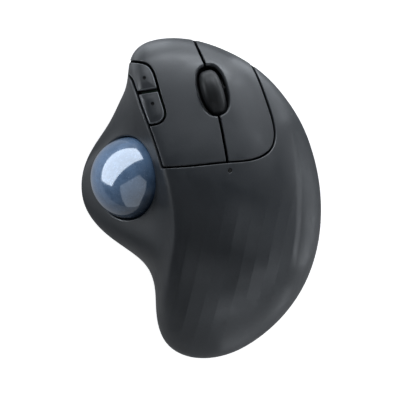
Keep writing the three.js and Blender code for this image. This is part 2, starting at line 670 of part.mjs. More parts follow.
// Coil whose radius runs from one value to another, as a curve for a wire.
class Helix extends THREE.Curve {
  constructor(start, rise, turns, radius0, radius1) {
    super();
    Object.assign(this, { start, rise, turns, radius0, radius1 });
  }
  getPoint(t, target = new THREE.Vector3()) {
    const a = t * this.turns * 2 * Math.PI;
    const r = this.radius0 + (this.radius1 - this.radius0) * t;
    const up = this.rise.clone().normalize();
    const u = new THREE.Vector3(1, 0, 0);
    const v = up.clone().cross(u);
    return target.copy(this.start).addScaledVector(this.rise, t)
      .addScaledVector(u, r * Math.cos(a)).addScaledVector(v, r * Math.sin(a));
  }
}
put(
  "battery_spring",
  wire(new Helix(new THREE.Vector3(BATTERY_X, BATTERY_BACK - 4.2, BATTERY_Z), new THREE.Vector3(0, 3.6, 0),
    3, 4.6, 2.4), 0.35, 42, 5),
  STEEL,
);
put(
  "usb_receiver",
  union(
    block(RECEIVER_X - 3, RECEIVER_X + 3, -31.6, -25.4, 3.6, 18.4),
    cut(
      block(RECEIVER_X - 2.2, RECEIVER_X + 2.2, -25.6, -13, 5, 17),
      block(RECEIVER_X - 0.2, RECEIVER_X + 1.6, -24, -12, 5.6, 16.4),
    ),
  ),
  STEEL,
);

// ---------------------------------------------------------------- ball, cage, bearings and sensor
const ballFrame = at(BALL.x, BALL.y, BALL.z);
put("trackball", solid(new THREE.IcosahedronGeometry(BALL_RADIUS, 5), ballFrame), BALL_BLUE);

const SENSOR_AZIMUTH = THREE.MathUtils.degToRad(-32);
const SENSOR_DIP = THREE.MathUtils.degToRad(12);
const sensorWay = new THREE.Vector3(
  Math.cos(SENSOR_DIP) * Math.cos(SENSOR_AZIMUTH),
  Math.cos(SENSOR_DIP) * Math.sin(SENSOR_AZIMUTH),
  -Math.sin(SENSOR_DIP),
);
// Frame at the ball's centre whose +Z points at the sensor and whose Y stays level.
const sensorFrame = (() => {
  const level = new THREE.Vector3(0, 0, 1).cross(sensorWay).normalize();
  const up = level.clone().cross(sensorWay);
  return new THREE.Matrix4().makeBasis(up, level, sensorWay).setPosition(BALL);
})();
const onSensor = (shape) => shape.transform(sensorFrame.elements);

// Three small balls carry the trackball, spread round the axis of the opening.
const OPENING_TILT = THREE.MathUtils.degToRad(42);
const openingWay = new THREE.Vector3(-Math.sin(OPENING_TILT), 0, Math.cos(OPENING_TILT));
const BEARING_RADIUS = 1.25;
const BEARING_ANGLE = THREE.MathUtils.degToRad(118);
const bearingFrames = [60, 180, 300].map((deg) => {
  const side = openingWay.clone().cross(new THREE.Vector3(0, 1, 0)).normalize();
  const tilted = openingWay.clone().applyAxisAngle(side, BEARING_ANGLE);
  return tilted.applyAxisAngle(openingWay, THREE.MathUtils.degToRad(deg));
});
const bearingCentre = (way) => BALL.clone().addScaledVector(way, BALL_RADIUS + BEARING_RADIUS + 0.12);

// Half space below the opening's plane, as a big block.
function belowOpening(offset) {
  const m = new THREE.Matrix4().lookAt(new THREE.Vector3(), openingWay, new THREE.Vector3(0, 1, 0));
  m.setPosition(BALL.clone().addScaledVector(openingWay, offset));
  return solid(new THREE.BoxGeometry(90, 90, 60).translate(0, 0, 30), m);
}
const inBody = bodySolid(WALL + 1.2, FLOOR_TOP + 0.4);
const cageTabs = CAGE_TABS.map(([x, y]) => {
  const reach = new THREE.Vector3(BALL.x - x, BALL.y - y, 0).normalize().multiplyScalar(9);
  const angle = Math.atan2(reach.y, reach.x);
  const arm = turnPlan([[0, -2.4], [9, -2.4], [9, 2.4], [0, 2.4]], x, y, angle);
  return union(bar(2.9, x, y, CAGE_TAB_Z, CAGE_TAB_Z + 1.6, 16), prism(arm, CAGE_TAB_Z, CAGE_TAB_Z + 1.6));
});
const cageBall = sphere(CAGE_OUTER, BALL, 24, 14);
const cage = cut(
  union(cageBall, ...cageTabs, ...bearingFrames.map((way) => sphere(2.6, bearingCentre(way), 12, 6))),
  sphere(CAGE_INNER, BALL, 24, 14),
  ...CAGE_TABS.map(([x, y]) => bar(1.4, x, y, 0, 30, 12)),
  ...bearingFrames.map((way) => sphere(BEARING_RADIUS + 0.3, bearingCentre(way), 12, 8)),
  onSensor(block(-3, 3, -3, 3, 10, 24)),
).intersect(belowOpening(-1.5)).intersect(inBody);
put("ball_cage", cage, NYLON);
bearingFrames.forEach((way, i) => {
  put(`support_ball_${i + 1}`, sphere(BEARING_RADIUS, bearingCentre(way), 12, 8), CERAMIC);
});
CAGE_TABS.forEach(([x, y], i) => {
  const z = CAGE_TAB_Z + 1.9;
  put(`cage_screw_${i + 1}`, union(bar(2.3, x, y, z, z + 1.3, 14), bar(1, x, y, z - 6, z + 0.5, 10)), STEEL);
});
const lensProfile = [[0, 18.1], [1.6, 18.3], [2.4, 19], [2.4, 20.6], [0, 20.6]];
put("sensor_lens", onSensor(turned(lensProfile, at(0, 0, 0), 16)), CLEAR);
put("sensor_chip", onSensor(block(-4, 4, -4.5, 4.5, 21, 23)), NYLON);
put("sensor_board", onSensor(block(-6.5, 6.5, -8, 8, 23.3, 24.5)), BOARD_GREEN);
// Flat cable from the sensor board forward to the main board.
const ribbonPath = new THREE.CatmullRomCurve3(
  [[-7.2, 6, 13.5], [-6.8, 10, 11], [-7, 16, 9.6], [-7.4, 24, 8.9], [-7.6, 27, 8.8]]
    .map((p) => new THREE.Vector3(...p)),
);
function ribbon(curve, width, thickness, steps) {
  const points = curve.getPoints(steps);
  const rows = points.map((p, i) => {
    const t = points[Math.min(i + 1, steps)].clone().sub(points[Math.max(i - 1, 0)]).normalize();
    const n = new THREE.Vector3(1, 0, 0).cross(t).normalize().multiplyScalar(thickness / 2);
    return [[-1, -1], [1, -1], [1, 1], [-1, 1]].map(([a, b]) =>
      p.clone().addScaledVector(n, b).add(new THREE.Vector3((a * width) / 2, 0, 0)));
  });
  const index = [];
  rows.slice(1).forEach((_, k) => {
    for (let i = 0; i < 4; i++) {
      const j = (i + 1) % 4;
      index.push(k * 4 + i, k * 4 + 4 + j, k * 4 + j, k * 4 + i, k * 4 + 4 + i, k * 4 + 4 + j);
    }
  });
  const e = steps * 4;
  index.push(0, 1, 2, 0, 2, 3, e, e + 2, e + 1, e, e + 3, e + 2);
  const g = new THREE.BufferGeometry().setFromPoints(rows.flat());
  g.setIndex(index);
  const made = solid(g);
  return made.volume() < 0 ? solid(g.setIndex(index.reverse())) : made;
}
put("sensor_ribbon", ribbon(ribbonPath, 5, 0.3, 12), COPPER);

// ---------------------------------------------------------------- main board and switches
const boardPlan = [
  [-10.5, 22.5], [25, 22.5], [27, 30], [25.4, 42], [17.5, 52], [2, 58.5], [-3, 60.4], [-15, 60.4],
  [-16.8, 54], [-16.8, 40],
];
const wheelCutout = onWheel(block(-4.6, 4.6, -8, 8, 0, 12));
const pivotCutouts = [-1, 1].map((side) =>
  onWheel(block(side * PIVOT_POST_X - 1.8, side * PIVOT_POST_X + 1.8, CRADLE_PIVOT_Y - 3.2,
    CRADLE_PIVOT_Y + 3.2, 0, 12)),
);
put(
  "main_board",
  cut(
    prism(boardPlan, BOARD_BOTTOM, BOARD_TOP),
    wheelCutout,
    ...pivotCutouts,
    ...BOARD_POSTS.map(([x, y]) => bar(1.35, x, y, 0, 12, 12)),
  ),
  BOARD_GREEN,
);
BOARD_POSTS.forEach(([x, y], i) => {
  const z = BOARD_TOP + 0.3;
  put(`board_screw_${i + 1}`, union(bar(2.2, x, y, z, z + 1.2, 14), bar(1, x, y, z - 4, z + 0.5, 10)), STEEL);
});

// Snap-action switch: a case with a pocket, and the plunger that stands in it.
function snapSwitch(side, [x, y]) {
  const top = BOARD_TOP + 0.3 + SWITCH_HEIGHT - 0.3;
  put(
    `${side}_switch`,
    cut(
      block(x - 2.9, x + 2.9, y - 8.4, y + 3.4, BOARD_TOP + 0.3, top),
      block(x - 1, x + 1, y - 1.4, y + 1.4, top - 2, top + 1),
    ),
    NYLON,
  );
  put(`${side}_switch_plunger`, block(x - 0.65, x + 0.65, y - 1, y + 1, top - 1, PLUNGER_TOP), SWITCH_WHITE);
}
snapSwitch("left", LEFT_SWITCH);
snapSwitch("right", RIGHT_SWITCH);

// Tact switch: square case with a round plunger, facing up or down.
function tactSwitch(name, x, y, z, way = 1) {
  const span = (a, b) => (way > 0 ? [z + a, z + b] : [z - b, z - a]);
  put(
    `${name}_switch`,
    cut(
      block(x - 3, x + 3, y - 3, y + 3, ...span(0.3, TACT_HEIGHT)),
      bar(1.9, x, y, ...span(TACT_HEIGHT - 1.6, TACT_HEIGHT + 1), 14),
    ),
    NYLON,
  );
  put(
    `${name}_switch_plunger`,
    bar(1.5, x, y, ...span(TACT_HEIGHT - 0.9, TACT_HEIGHT + TACT_PLUNGER), 12),
    SWITCH_WHITE,
  );
}

// ---------------------------------------------------------------- side board
const sideBoardPlan = turnPlan([[-3.2, -10.5], [3.4, -10.5], [3.4, 9.2], [-3.2, 9.2]], -21.1, 42.6, 0.33);
put("side_board", prism(sideBoardPlan, SIDE_BOARD_TOP - 1.2, SIDE_BOARD_TOP), BOARD_GREEN);
tactSwitch("forward", ...FORWARD_BUTTON, SIDE_BOARD_TOP);
tactSwitch("back", ...BACK_BUTTON, SIDE_BOARD_TOP);

// ---------------------------------------------------------------- wheel, cradle and pivot
const ENCODER_RADIUS = 4.8; // where the light beam crosses the slotted hub
const wheelTurned = (profile, sides) =>
  onWheel(
    turned(profile, new THREE.Matrix4().makeRotationY(Math.PI / 2).setPosition(0, 0, WHEEL_Z), sides),
  );
// Radius of the barrel-shaped wheel at a distance from its middle.
const barrel = (u) => WHEEL_RADIUS * Math.sqrt(1 - (Math.abs(u) / WHEEL_HALF_WIDTH) ** 2.8);
const TYRE_INNER = 7.6;
const crown = [-3.9, -3.3, -2.4, -1.2, 0, 1.2, 2.4, 3.3, 3.9].map((u) => [barrel(u), u]);
const tyreProfile = [[TYRE_INNER, -3.9], ...crown, [TYRE_INNER, 3.9], [TYRE_INNER, -3.9]];
put("wheel_tyre", wheelTurned(tyreProfile, 32), RUBBER);
const HUB_RIM = TYRE_INNER - 0.3;
const hub = wheelTurned([[1.25, -4.4], [2.9, -4.4], [3.2, -0.9], [6.3, -0.9], [6.5, -3.7], [HUB_RIM, -3.7],
  [HUB_RIM, 3.7], [6.5, 3.7], [6.3, 0.9], [3.2, 0.9], [2.9, 4.4], [1.25, 4.4], [1.25, -4.4]], 24);
const SLOTS = 8;
const hubSlots = Array.from({ length: SLOTS }, (_, i) => {
  const m = new THREE.Matrix4().makeRotationX((i / SLOTS) * 2 * Math.PI).setPosition(0, 0, WHEEL_Z);
  return onWheel(solid(new THREE.BoxGeometry(4, 1.4, 2.4).translate(0, 0, ENCODER_RADIUS), m));
});
put("wheel_hub", cut(hub, ...hubSlots), NYLON);
put("wheel_axle", onWheel(crossBar(1, -6.5, 6.5, 0, WHEEL_Z, 12)), STEEL);

const ARM_X = 5.5;
const ARM_HALF = 0.6;
const NOSE_Y = 12; // bar at the front of the cradle, over the middle switch
const NOSE_Z = 12.7;
const cradleArm = (side) => {
  const x0 = side * ARM_X - ARM_HALF;
  const x1 = side * ARM_X + ARM_HALF;
  const profile = new THREE.Shape([
    [CRADLE_PIVOT_Y - 2.6, CRADLE_PIVOT_Z - 2.2], [CRADLE_PIVOT_Y + 3, CRADLE_PIVOT_Z - 2.6],
    [NOSE_Y - 2, NOSE_Z], [NOSE_Y + 1.5, NOSE_Z], [NOSE_Y + 1.5, NOSE_Z + 1.5], [NOSE_Y - 2, NOSE_Z + 3.2],
    [2.4, WHEEL_Z + 1.9], [-2.4, WHEEL_Z + 1.9], [CRADLE_PIVOT_Y - 2.6, CRADLE_PIVOT_Z + 2.4],
  ].map(([y, z]) => new THREE.Vector2(y, z)));
  const g = new THREE.ExtrudeGeometry(profile, { depth: x1 - x0, bevelEnabled: false });
  g.applyMatrix4(new THREE.Matrix4().makeBasis(
    new THREE.Vector3(0, 1, 0), new THREE.Vector3(0, 0, 1), new THREE.Vector3(1, 0, 0)));
  return solid(g, at(x0, 0, 0));
};
put(
  "wheel_cradle",
  onWheel(
    cut(
      union(
        cradleArm(-1),
        cradleArm(1),
        block(-ARM_X, ARM_X, NOSE_Y - 1.5, NOSE_Y + 1.5, NOSE_Z, NOSE_Z + 1.5),
        block(-ARM_X, ARM_X, CRADLE_PIVOT_Y - 2.4, CRADLE_PIVOT_Y + 2.4,
          CRADLE_PIVOT_Z - 2.2, CRADLE_PIVOT_Z + 2.2),
      ),
      crossBar(1.35, -12, 12, CRADLE_PIVOT_Y, CRADLE_PIVOT_Z, 12),
      crossBar(1.3, -12, 12, 0, WHEEL_Z, 12),
      crossBar(1.6, -12, 12, 0, WHEEL_Z - ENCODER_RADIUS, 12),
    ),
  ),
  NYLON,
);
put("cradle_pin", onWheel(crossBar(1.05, -9.4, 9.4, CRADLE_PIVOT_Y, CRADLE_PIVOT_Z, 12)), STEEL);

const MIDDLE_SWITCH = new THREE.Vector3(3.2, NOSE_Y, 0).applyMatrix4(wheelFrame);
const SPRING_SPOT = new THREE.Vector3(-3.6, NOSE_Y, 0).applyMatrix4(wheelFrame);
tactSwitch("middle", MIDDLE_SWITCH.x, MIDDLE_SWITCH.y, BOARD_TOP);
put(
  "cradle_spring",
  wire(new Helix(new THREE.Vector3(SPRING_SPOT.x, SPRING_SPOT.y, BOARD_TOP + 0.7),
    new THREE.Vector3(0, 0, NOSE_Z - BOARD_TOP - 1.4), 3, 1.7, 1.7), 0.28, 30, 5),
  STEEL,
);
for (const [name, x0, x1] of [["emitter", -7.8, -6.5], ["detector", 6.5, 7.8]]) {
  put(`encoder_${name}`, onWheel(block(x0, x1, -1.7, 1.7, BOARD_TOP + 0.3, 18.6)), CLEAR);
}

// ---------------------------------------------------------------- underside controls
put(
  "power_slider",
  union(
    block(POWER[0] - 3.7, POWER[0] + 0.3, POWER[1] - 1.5, POWER[1] + 1.5,
      FLOOR_BOTTOM + 0.2, FLOOR_TOP + 0.6),
    block(POWER[0] - 4.7, POWER[0] + 1.3, POWER[1] - 2.8, POWER[1] + 2.8, FLOOR_TOP + 0.4, FLOOR_TOP + 1.2),
  ),
  SWITCH_WHITE,
);
put(
  "power_switch",
  block(POWER[0] - 5, POWER[0] + 5, POWER[1] - 2.4, POWER[1] + 2.4, FLOOR_TOP + 1.6, BOARD_BOTTOM - 0.3),
  STEEL,
);
put(
  "connect_button",
  union(
    bar(2.3, ...CONNECT, FLOOR_BOTTOM + 0.2, FLOOR_TOP + 0.5, 20),
    bar(3.2, ...CONNECT, FLOOR_TOP + 0.35, FLOOR_TOP + 1.2, 20),
  ),
  GRAPHITE,
);

put(
  "connect_switch",
  cut(
    block(CONNECT[0] - 3, CONNECT[0] + 3, CONNECT[1] - 3, CONNECT[1] + 3,
      BOARD_BOTTOM - 1.8, BOARD_BOTTOM - 0.3),
    bar(1.8, ...CONNECT, BOARD_BOTTOM - 2.2, BOARD_BOTTOM - 1, 14),
  ),
  NYLON,
);
put("connect_switch_plunger", bar(1.4, ...CONNECT, BOARD_BOTTOM - 2.5, BOARD_BOTTOM - 1.5, 12), SWITCH_WHITE);

export default model;
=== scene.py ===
"""Finished surfaces of a thumb-operated trackball mouse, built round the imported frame."""

import json
import logging
import math
from collections.abc import Callable, Sequence
from dataclasses import dataclass, field
from enum import Enum

import bpy
import numpy as np
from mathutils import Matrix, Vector
from mathutils.geometry import delaunay_2d_cdt


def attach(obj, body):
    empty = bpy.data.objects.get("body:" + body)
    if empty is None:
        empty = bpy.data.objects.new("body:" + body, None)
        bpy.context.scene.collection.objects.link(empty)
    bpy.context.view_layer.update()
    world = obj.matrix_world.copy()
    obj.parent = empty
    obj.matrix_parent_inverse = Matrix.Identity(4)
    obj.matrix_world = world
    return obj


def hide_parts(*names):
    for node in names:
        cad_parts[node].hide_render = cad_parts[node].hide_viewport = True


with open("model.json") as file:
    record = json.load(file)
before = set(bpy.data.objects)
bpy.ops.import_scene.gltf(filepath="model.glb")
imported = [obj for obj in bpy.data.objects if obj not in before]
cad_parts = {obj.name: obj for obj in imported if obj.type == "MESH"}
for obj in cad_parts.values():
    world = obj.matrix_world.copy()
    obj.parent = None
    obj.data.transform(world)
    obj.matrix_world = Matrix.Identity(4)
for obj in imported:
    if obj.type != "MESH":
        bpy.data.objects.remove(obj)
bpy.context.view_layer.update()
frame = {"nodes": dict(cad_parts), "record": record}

LOG = logging.getLogger("trackball_mouse")
MM = 0.001

BALL_CENTRE = (-29.0, 8.3, 20.5)
BALL_RADIUS = 17.0
WHEEL_TURN = math.radians(15.9)


# ------------------------------------------------------------------ curves
class Spline:
    """Cubic spline through a few points: natural at its ends, or closed over a period."""

    def __init__(self, points: Sequence[tuple[float, float]], period: float = 0.0) -> None:
        """Solves for the spline's second derivatives.

        Args:
            points: pairs of x and value, in rising x.
            period: the length after which the spline repeats, or 0.
        """
        pts = sorted(points)
        self.period = period
        self.x = np.array([p[0] for p in pts], float)
        self.y = np.array([p[1] for p in pts], float)
        n = len(pts)
        if period:
            self.x = np.append(self.x, self.x[0] + period)
            self.y = np.append(self.y, self.y[0])
        a, b = np.zeros((n, n)), np.zeros(n)
        x, y = self.x, self.y
        for i in range(n):
            if not period and i in (0, n - 1):
                a[i, i] = 1
                continue
            before = n - 1 if i == 0 else i - 1
            h0 = x[n] - x[n - 1] if i == 0 else x[i] - x[i - 1]
            h1 = x[i + 1] - x[i]
            a[i, before] += h0
            a[i, i] += 2 * (h0 + h1)
            a[i, (i + 1) % n] += h1
            b[i] = 6 * ((y[i + 1] - y[i]) / h1 - (y[i] - y[before]) / h0)
        m = np.linalg.solve(a, b)
        self.m = np.append(m, m[0]) if period else m

    def __call__(self, t: np.ndarray) -> np.ndarray:
        """Values of the spline at t.

        Args:
            t: places along x.

        Returns:
            The values there.
        """
        t = np.asarray(t, float)
        if self.period:
            t = self.x[0] + np.mod(t - self.x[0], self.period)
        i = np.clip(np.searchsorted(self.x, t, side="left") - 1, 0, len(self.x) - 2)
        h = self.x[i + 1] - self.x[i]
        u = np.clip((self.x[i + 1] - t) / h, 0, 1)
        v = 1 - u
        bend = ((u**3 - u) * self.m[i] + (v**3 - v) * self.m[i + 1]) * h * h / 6
        return u * self.y[i] + v * self.y[i + 1] + bend


def smooth_line(points: Sequence[tuple[float, float]], count: int = 400) -> np.ndarray:
    """Smooth plan curve through a few points.

    Args:
        points: plan points in order, in millimetres.
        count: how many points the curve is given.

    Returns:
        An array of plan points, evenly spread over the points' running length.
    """
    p = np.array(points, float)
    run = np.concatenate([[0], np.cumsum(np.hypot(*np.diff(p, axis=0).T) ** 0.75)])
    t = np.linspace(0, run[-1], count)
    return np.stack([Spline(list(zip(run, p[:, k])))(t) for k in (0, 1)], axis=1)


def beside(line: np.ndarray, distance: float) -> np.ndarray:
    """The line moved to its left by a distance, in plan.

    Args:
        line: plan points.
        distance: how far to its left.

    Returns:
        The moved points.
    """
    t = np.gradient(line, axis=0)
    t /= np.linalg.norm(t, axis=1, keepdims=True)
    return line + distance * np.stack([-t[:, 1], t[:, 0]], axis=1)


def round_at(middle: Sequence[float], radius: np.ndarray | float, turn: np.ndarray) -> np.ndarray:
    """Plan points at a radius about a middle, at angles round it."""
    return np.stack([middle[0] + radius * np.cos(turn), middle[1] + radius * np.sin(turn)], -1)


def oval(half: tuple[float, float], power: float, turn: np.ndarray) -> np.ndarray:
    """Plan points of a squarish oval about the origin, at angles round it."""
    waves = (np.cos(turn), np.sin(turn))
    return np.column_stack([h * (np.sign(w) * np.abs(w) ** (2 / power)) for h, w in zip(half, waves)])


# ------------------------------------------------------------------ the body's form
@dataclass(frozen=True)
class PalmForm:
    """The sculpted outer surface, as the frame's shell has it, in millimetres."""

    centre: tuple[float, float] = (3.0, -8.0)
    parting: float = 5.6
    wall: float = 2.0
    wall_run: float = 4.0
    scoop_slope: float = 0.8
    crease: float = 1.2
    facet_lines: tuple[float, ...] = (
        -24.8, -18.6, -12.4, -6.2, 0.0, 6.1, 11.9, 17.7, 23.0, 28.3, 33.2, 37.5, 42.4, 47.0)
    facet_shift: float = 0.6
    facet_side: tuple[float, float] = (2.0, 9.0)
    facet_front: tuple[float, float] = (4.0, 8.0)
    facet_front_at: float = 15.0
    facet_fade: float = 22.0
    facet_last: tuple[float, float] = (37.5, 42.4)
    facet_last_rear: tuple[float, float] = (-28.0, 6.0)
    flank_drop: float = 1.1
    flank_run: float = 2.7
    flank_ends: tuple[float, float] = (-34.0, 34.0)
    curves: dict[str, Spline] = field(default_factory=dict)

    def __post_init__(self) -> None:
        """Builds the splines that drive the surface."""
        outline = [
            (50, -6), (49, 8), (46.2, 20), (41.4, 32), (35, 42), (28, 50), (19, 57), (8, 62.6),
            (-3, 66), (-12, 66.9), (-20, 66), (-26.6, 62.8), (-30, 56.9), (-31, 49.5), (-33.4, 42),
            (-38.3, 32), (-44.4, 22.6), (-48.7, 14), (-50.2, 5), (-48.6, -3.6), (-42.8, -12.2),
            (-34, -19.4), (-25.2, -26), (-20.5, -33.4), (-19.2, -41.5), (-18.6, -50.4),
            (-15.9, -58.8), (-9, -65), (1, -67), (13, -64.6), (24.5, -58), (35, -48.2),
            (43.2, -35.8), (48.3, -21.2),
        ]
        cx, cy = self.centre
        polar = [
            (math.atan2(y - cy, x - cx) % (2 * math.pi), math.hypot(x - cx, y - cy))
            for x, y in outline
        ]
        self.curves.update(
            outline=Spline(polar, 2 * math.pi),
            ridge=Spline([
                (-66, -27), (-54, -22.4), (-44, -17.7), (-29, -13.4), (-11, -11.8), (2, -13.6),
                (12, -16), (24, -19.8), (37, -24.7), (51, -29.7), (60, -33), (70, -37),
            ]),
            crest=Spline([
                (-70, 17), (-60, 26.5), (-48, 36), (-35, 43), (-22, 46.9), (-9, 48), (4, 46.8),
                (18, 42.6), (32, 36.3), (46, 29.8), (58, 24.4), (70, 18.5),
            ]),
            crest_x=Spline([(-70, 8), (-40, 3), (0, -6), (35, -13), (70, -18)]),
            fall=Spline([(-70, 0.8), (-40, 1), (0, 1), (30, 0.82), (60, 0.62)]),
            drop=Spline([(-60, 3), (-40, 5.5), (-15, 8.5), (8, 10.5), (24, 7.5), (40, 3), (60, 1)]),
            flank=Spline([
                (-34, 35.6), (-27.7, 36.6), (-21.5, 37.6), (-15.3, 38.4), (-7, 39.1), (3, 39.4),
                (12, 39.0), (20, 38.4), (30, 36.8),
            ]),
            shoulder=Spline([
                (0, 6.5), (0.9, 8), (1.7, 10), (2.5, 13), (3.1, 14), (3.7, 11), (4.25, 8),
                (4.75, 5), (5.5, 5.5),
            ], 2 * math.pi),
        )

    def polar(self, x: np.ndarray, y: np.ndarray) -> tuple[np.ndarray, np.ndarray]:
        """Angle about the pole, and the share of the outline's radius there.

        Args:
            x: plan x.
            y: plan y.

        Returns:
            The angles and the shares.
        """
        dx, dy = np.asarray(x, float) - self.centre[0], np.asarray(y, float) - self.centre[1]
        angle = np.arctan2(dy, dx)
        return angle, np.hypot(dx, dy) / self.curves["outline"](angle)

    @staticmethod
    def lean(y: np.ndarray) -> np.ndarray:
        """How far the palm's bands have fanned over to the left at a distance back."""
        back = -y - 18
        return 0.2 * back + 0.0012 * back * np.abs(back)

    @staticmethod
    def ease(t: np.ndarray) -> np.ndarray:
        """Smooth step from 0 to 1."""
        t = np.clip(t, 0, 1)
        return t * t * (3 - 2 * t)

    def rounded(self, t: np.ndarray) -> np.ndarray:
        """A distance that turns softly to 0 over the crease, instead of going negative."""
        return 0.5 * (t + np.sqrt(t * t + self.crease**2))

    def facets(self, x: np.ndarray, y: np.ndarray) -> np.ndarray:
        """How far the fanned flat bands of the palm lie from its round form.

        Args:
            x: plan x.
            y: plan y.

        Returns:
            The height to add at each point.
        """
        lines = np.array(self.facet_lines)
        shift = self.facet_shift - self.lean(y)
        at = np.clip(x - shift, lines[0] + 0.001, lines[-1] - 0.001)
        k = np.clip(np.searchsorted(lines, at) - 1, 0, len(lines) - 2)
        left, right = lines[k] + shift, lines[k + 1] + shift
        part = (at - lines[k]) / (lines[k + 1] - lines[k])

        def high(px: np.ndarray) -> np.ndarray:
            """Height of the round form above the parting line."""
            return (self.body(px, y) - self.parting) * self.roll(px, y)

        chord = (1 - part) * high(left) + part * high(right)
        roll = np.maximum(self.roll(x, y), 0.3)
        off, run = self.facet_side
        side = self.ease((x - self.curves["ridge"](y) - off) / run)
        nearest, further = self.facet_front
        start = nearest + further * self.ease((at - self.facet_front_at) / self.facet_front_at)
        # A band whose line runs off the rolled edge fades out before it gets there.
        ends = np.minimum(self.roll(left, y), self.roll(right, y))
        fade = self.ease((start - y) / self.facet_fade) * side * self.ease((ends - 0.6) / 0.25)
        rear, run = self.facet_last_rear
        short, last = self.facet_last
        fade = np.where(at > short, fade * self.ease((rear - y) / run), fade)
        return np.where(at > last, 0.0, fade) * (chord / roll - (self.body(x, y) - self.parting))

    def flank(self, x: np.ndarray, y: np.ndarray) -> np.ndarray:
        """Extra fall of the right flank, outside a soft edge along the shoulder.

        Args:
            x: plan x.
            y: plan y.

        Returns:
            The height to take off at each point.
        """
        t = x - self.curves["flank"](y)
        rear, front = self.flank_ends
        fade = self.ease((y - rear) / 14) * self.ease((front - y) / 18)
        back = 1 - 0.8 * np.clip((t - self.flank_run + 0.3) / 9, 0, 1)
        return self.flank_drop * fade * self.ease((t + 0.3) / self.flank_run) * back

    def body(self, x: np.ndarray, y: np.ndarray) -> np.ndarray:
        """Height of the round palm and the thumb's scoop before the edges roll down.

        Args:
            x: plan x.
            y: plan y.

        Returns:
            The heights.
        """
        ridge = self.curves["ridge"](y)
        inside, outside = ridge + self.rounded(x - ridge), self.rounded(ridge - x)
        across = (inside - self.curves["crest_x"](y)) / 40
        palm = self.curves["crest"](y) - self.curves["fall"](y) * (11 * across**2 + 3 * across**4)
        wall = self.curves["drop"](y) * (1 - np.exp(-outside / self.wall_run))
        return palm - wall - self.scoop_slope * outside

    def dome(self, x: np.ndarray, y: np.ndarray) -> np.ndarray:
        """Height of the palm with its flat bands and its shoulder, before the edges roll down."""
        return self.body(x, y) + self.facets(x, y) - self.flank(x, y)

    def roll(self, x: np.ndarray, y: np.ndarray) -> np.ndarray:
        """How far a plan point is from the outline's edge: 0 on the edge, 1 at the pole.

        Args:
            x: plan x.
            y: plan y.

        Returns:
            The roll values.
        """
        angle, share = self.polar(x, y)
        power = self.curves["shoulder"](angle)
        return np.sqrt(np.clip(1 - np.clip(share, 0, 1) ** power, 0, 1))

    def height(self, x: np.ndarray, y: np.ndarray) -> np.ndarray:
        """Height of the outer surface over plan points."""
        return self.parting + (self.dome(x, y) - self.parting) * self.roll(x, y)

    def plan(self, angle: np.ndarray, roll: np.ndarray) -> np.ndarray:
        """Plan point at an angle about the pole and a roll value.

        Args:
            angle: angles about the pole.
            roll: roll values.

        Returns:
            The plan points.
        """
        share = (1 - roll**2) ** (1 / self.curves["shoulder"](angle))
        r = share * self.curves["outline"](angle)
        return round_at(self.centre, r, angle)

    def point(self, angle: np.ndarray, roll: np.ndarray) -> np.ndarray:
        """Point of the outer surface at an angle about the pole and a roll value.

        Args:
            angle: angles about the pole.
            roll: roll values.

        Returns:
            The points, in millimetres.
        """
        p = self.plan(angle, roll)
        z = self.parting + (self.dome(p[..., 0], p[..., 1]) - self.parting) * roll
        return np.concatenate([p, z[..., None]], -1)

    def lift(self, plan: np.ndarray) -> np.ndarray:
        """Plan points carried up onto the outer surface."""
        return np.column_stack([plan, self.height(plan[:, 0], plan[:, 1])])

    def normals(self, plan: np.ndarray) -> np.ndarray:
        """Outward unit normals of the outer surface over plan points.

        Args:
            plan: plan points.

        Returns:
            A normal for each point.
        """
        x, y = plan[:, 0], plan[:, 1]
        angle, share = self.polar(x, y)
        roll = self.roll(x, y)
        h = 0.2
        gx = (self.height(x + h, y) - self.height(x - h, y)) / (2 * h)
        gy = (self.height(x, y + h) - self.height(x, y - h)) / (2 * h)
        flat = np.column_stack([-gx, -gy, np.ones_like(gx)])
        turn, step = 0.003, 0.006
        along = self.point(angle + turn, roll) - self.point(angle - turn, roll)
        above, below = np.minimum(roll + step, 1), np.maximum(roll - step, 0)
        up = self.point(angle, above) - self.point(angle, below)
        edge = np.cross(along, up)
        n = np.where(((roll < 0.8) & (share > 0.4))[:, None], edge, flat)
        return n / np.linalg.norm(n, axis=1, keepdims=True)

    def outline(self, start: float, end: float, count: int = 1500) -> np.ndarray:
        """The outline in plan from one angle about the pole to another."""
        a = np.linspace(start, end, count)
        return self.plan(a, np.zeros_like(a))

    def contour(self, level: float, start: float, end: float, count: int = 400) -> np.ndarray:
        """Plan curve near the edge where the surface stands at one height.

        Args:
            level: the height.
            start: angle about the pole where the curve starts.
            end: angle where it ends.
            count: how many points it has.

        Returns:
            The curve's plan points.
        """
        a = np.linspace(start, end, count)
        low, high = np.zeros_like(a), np.full_like(a, 0.9)
        for _ in range(40):
            middle = (low + high) / 2
            above = self.point(a, middle)[:, 2] > level
            low, high = np.where(above, low, middle), np.where(above, middle, high)
        return self.plan(a, high)


FORM = PalmForm()


# ------------------------------------------------------------------ seams
class Side(Enum):
    """Which way a piece lies from a seam's centre line, walking along the seam."""

    LEFT = 1
    RIGHT = -1


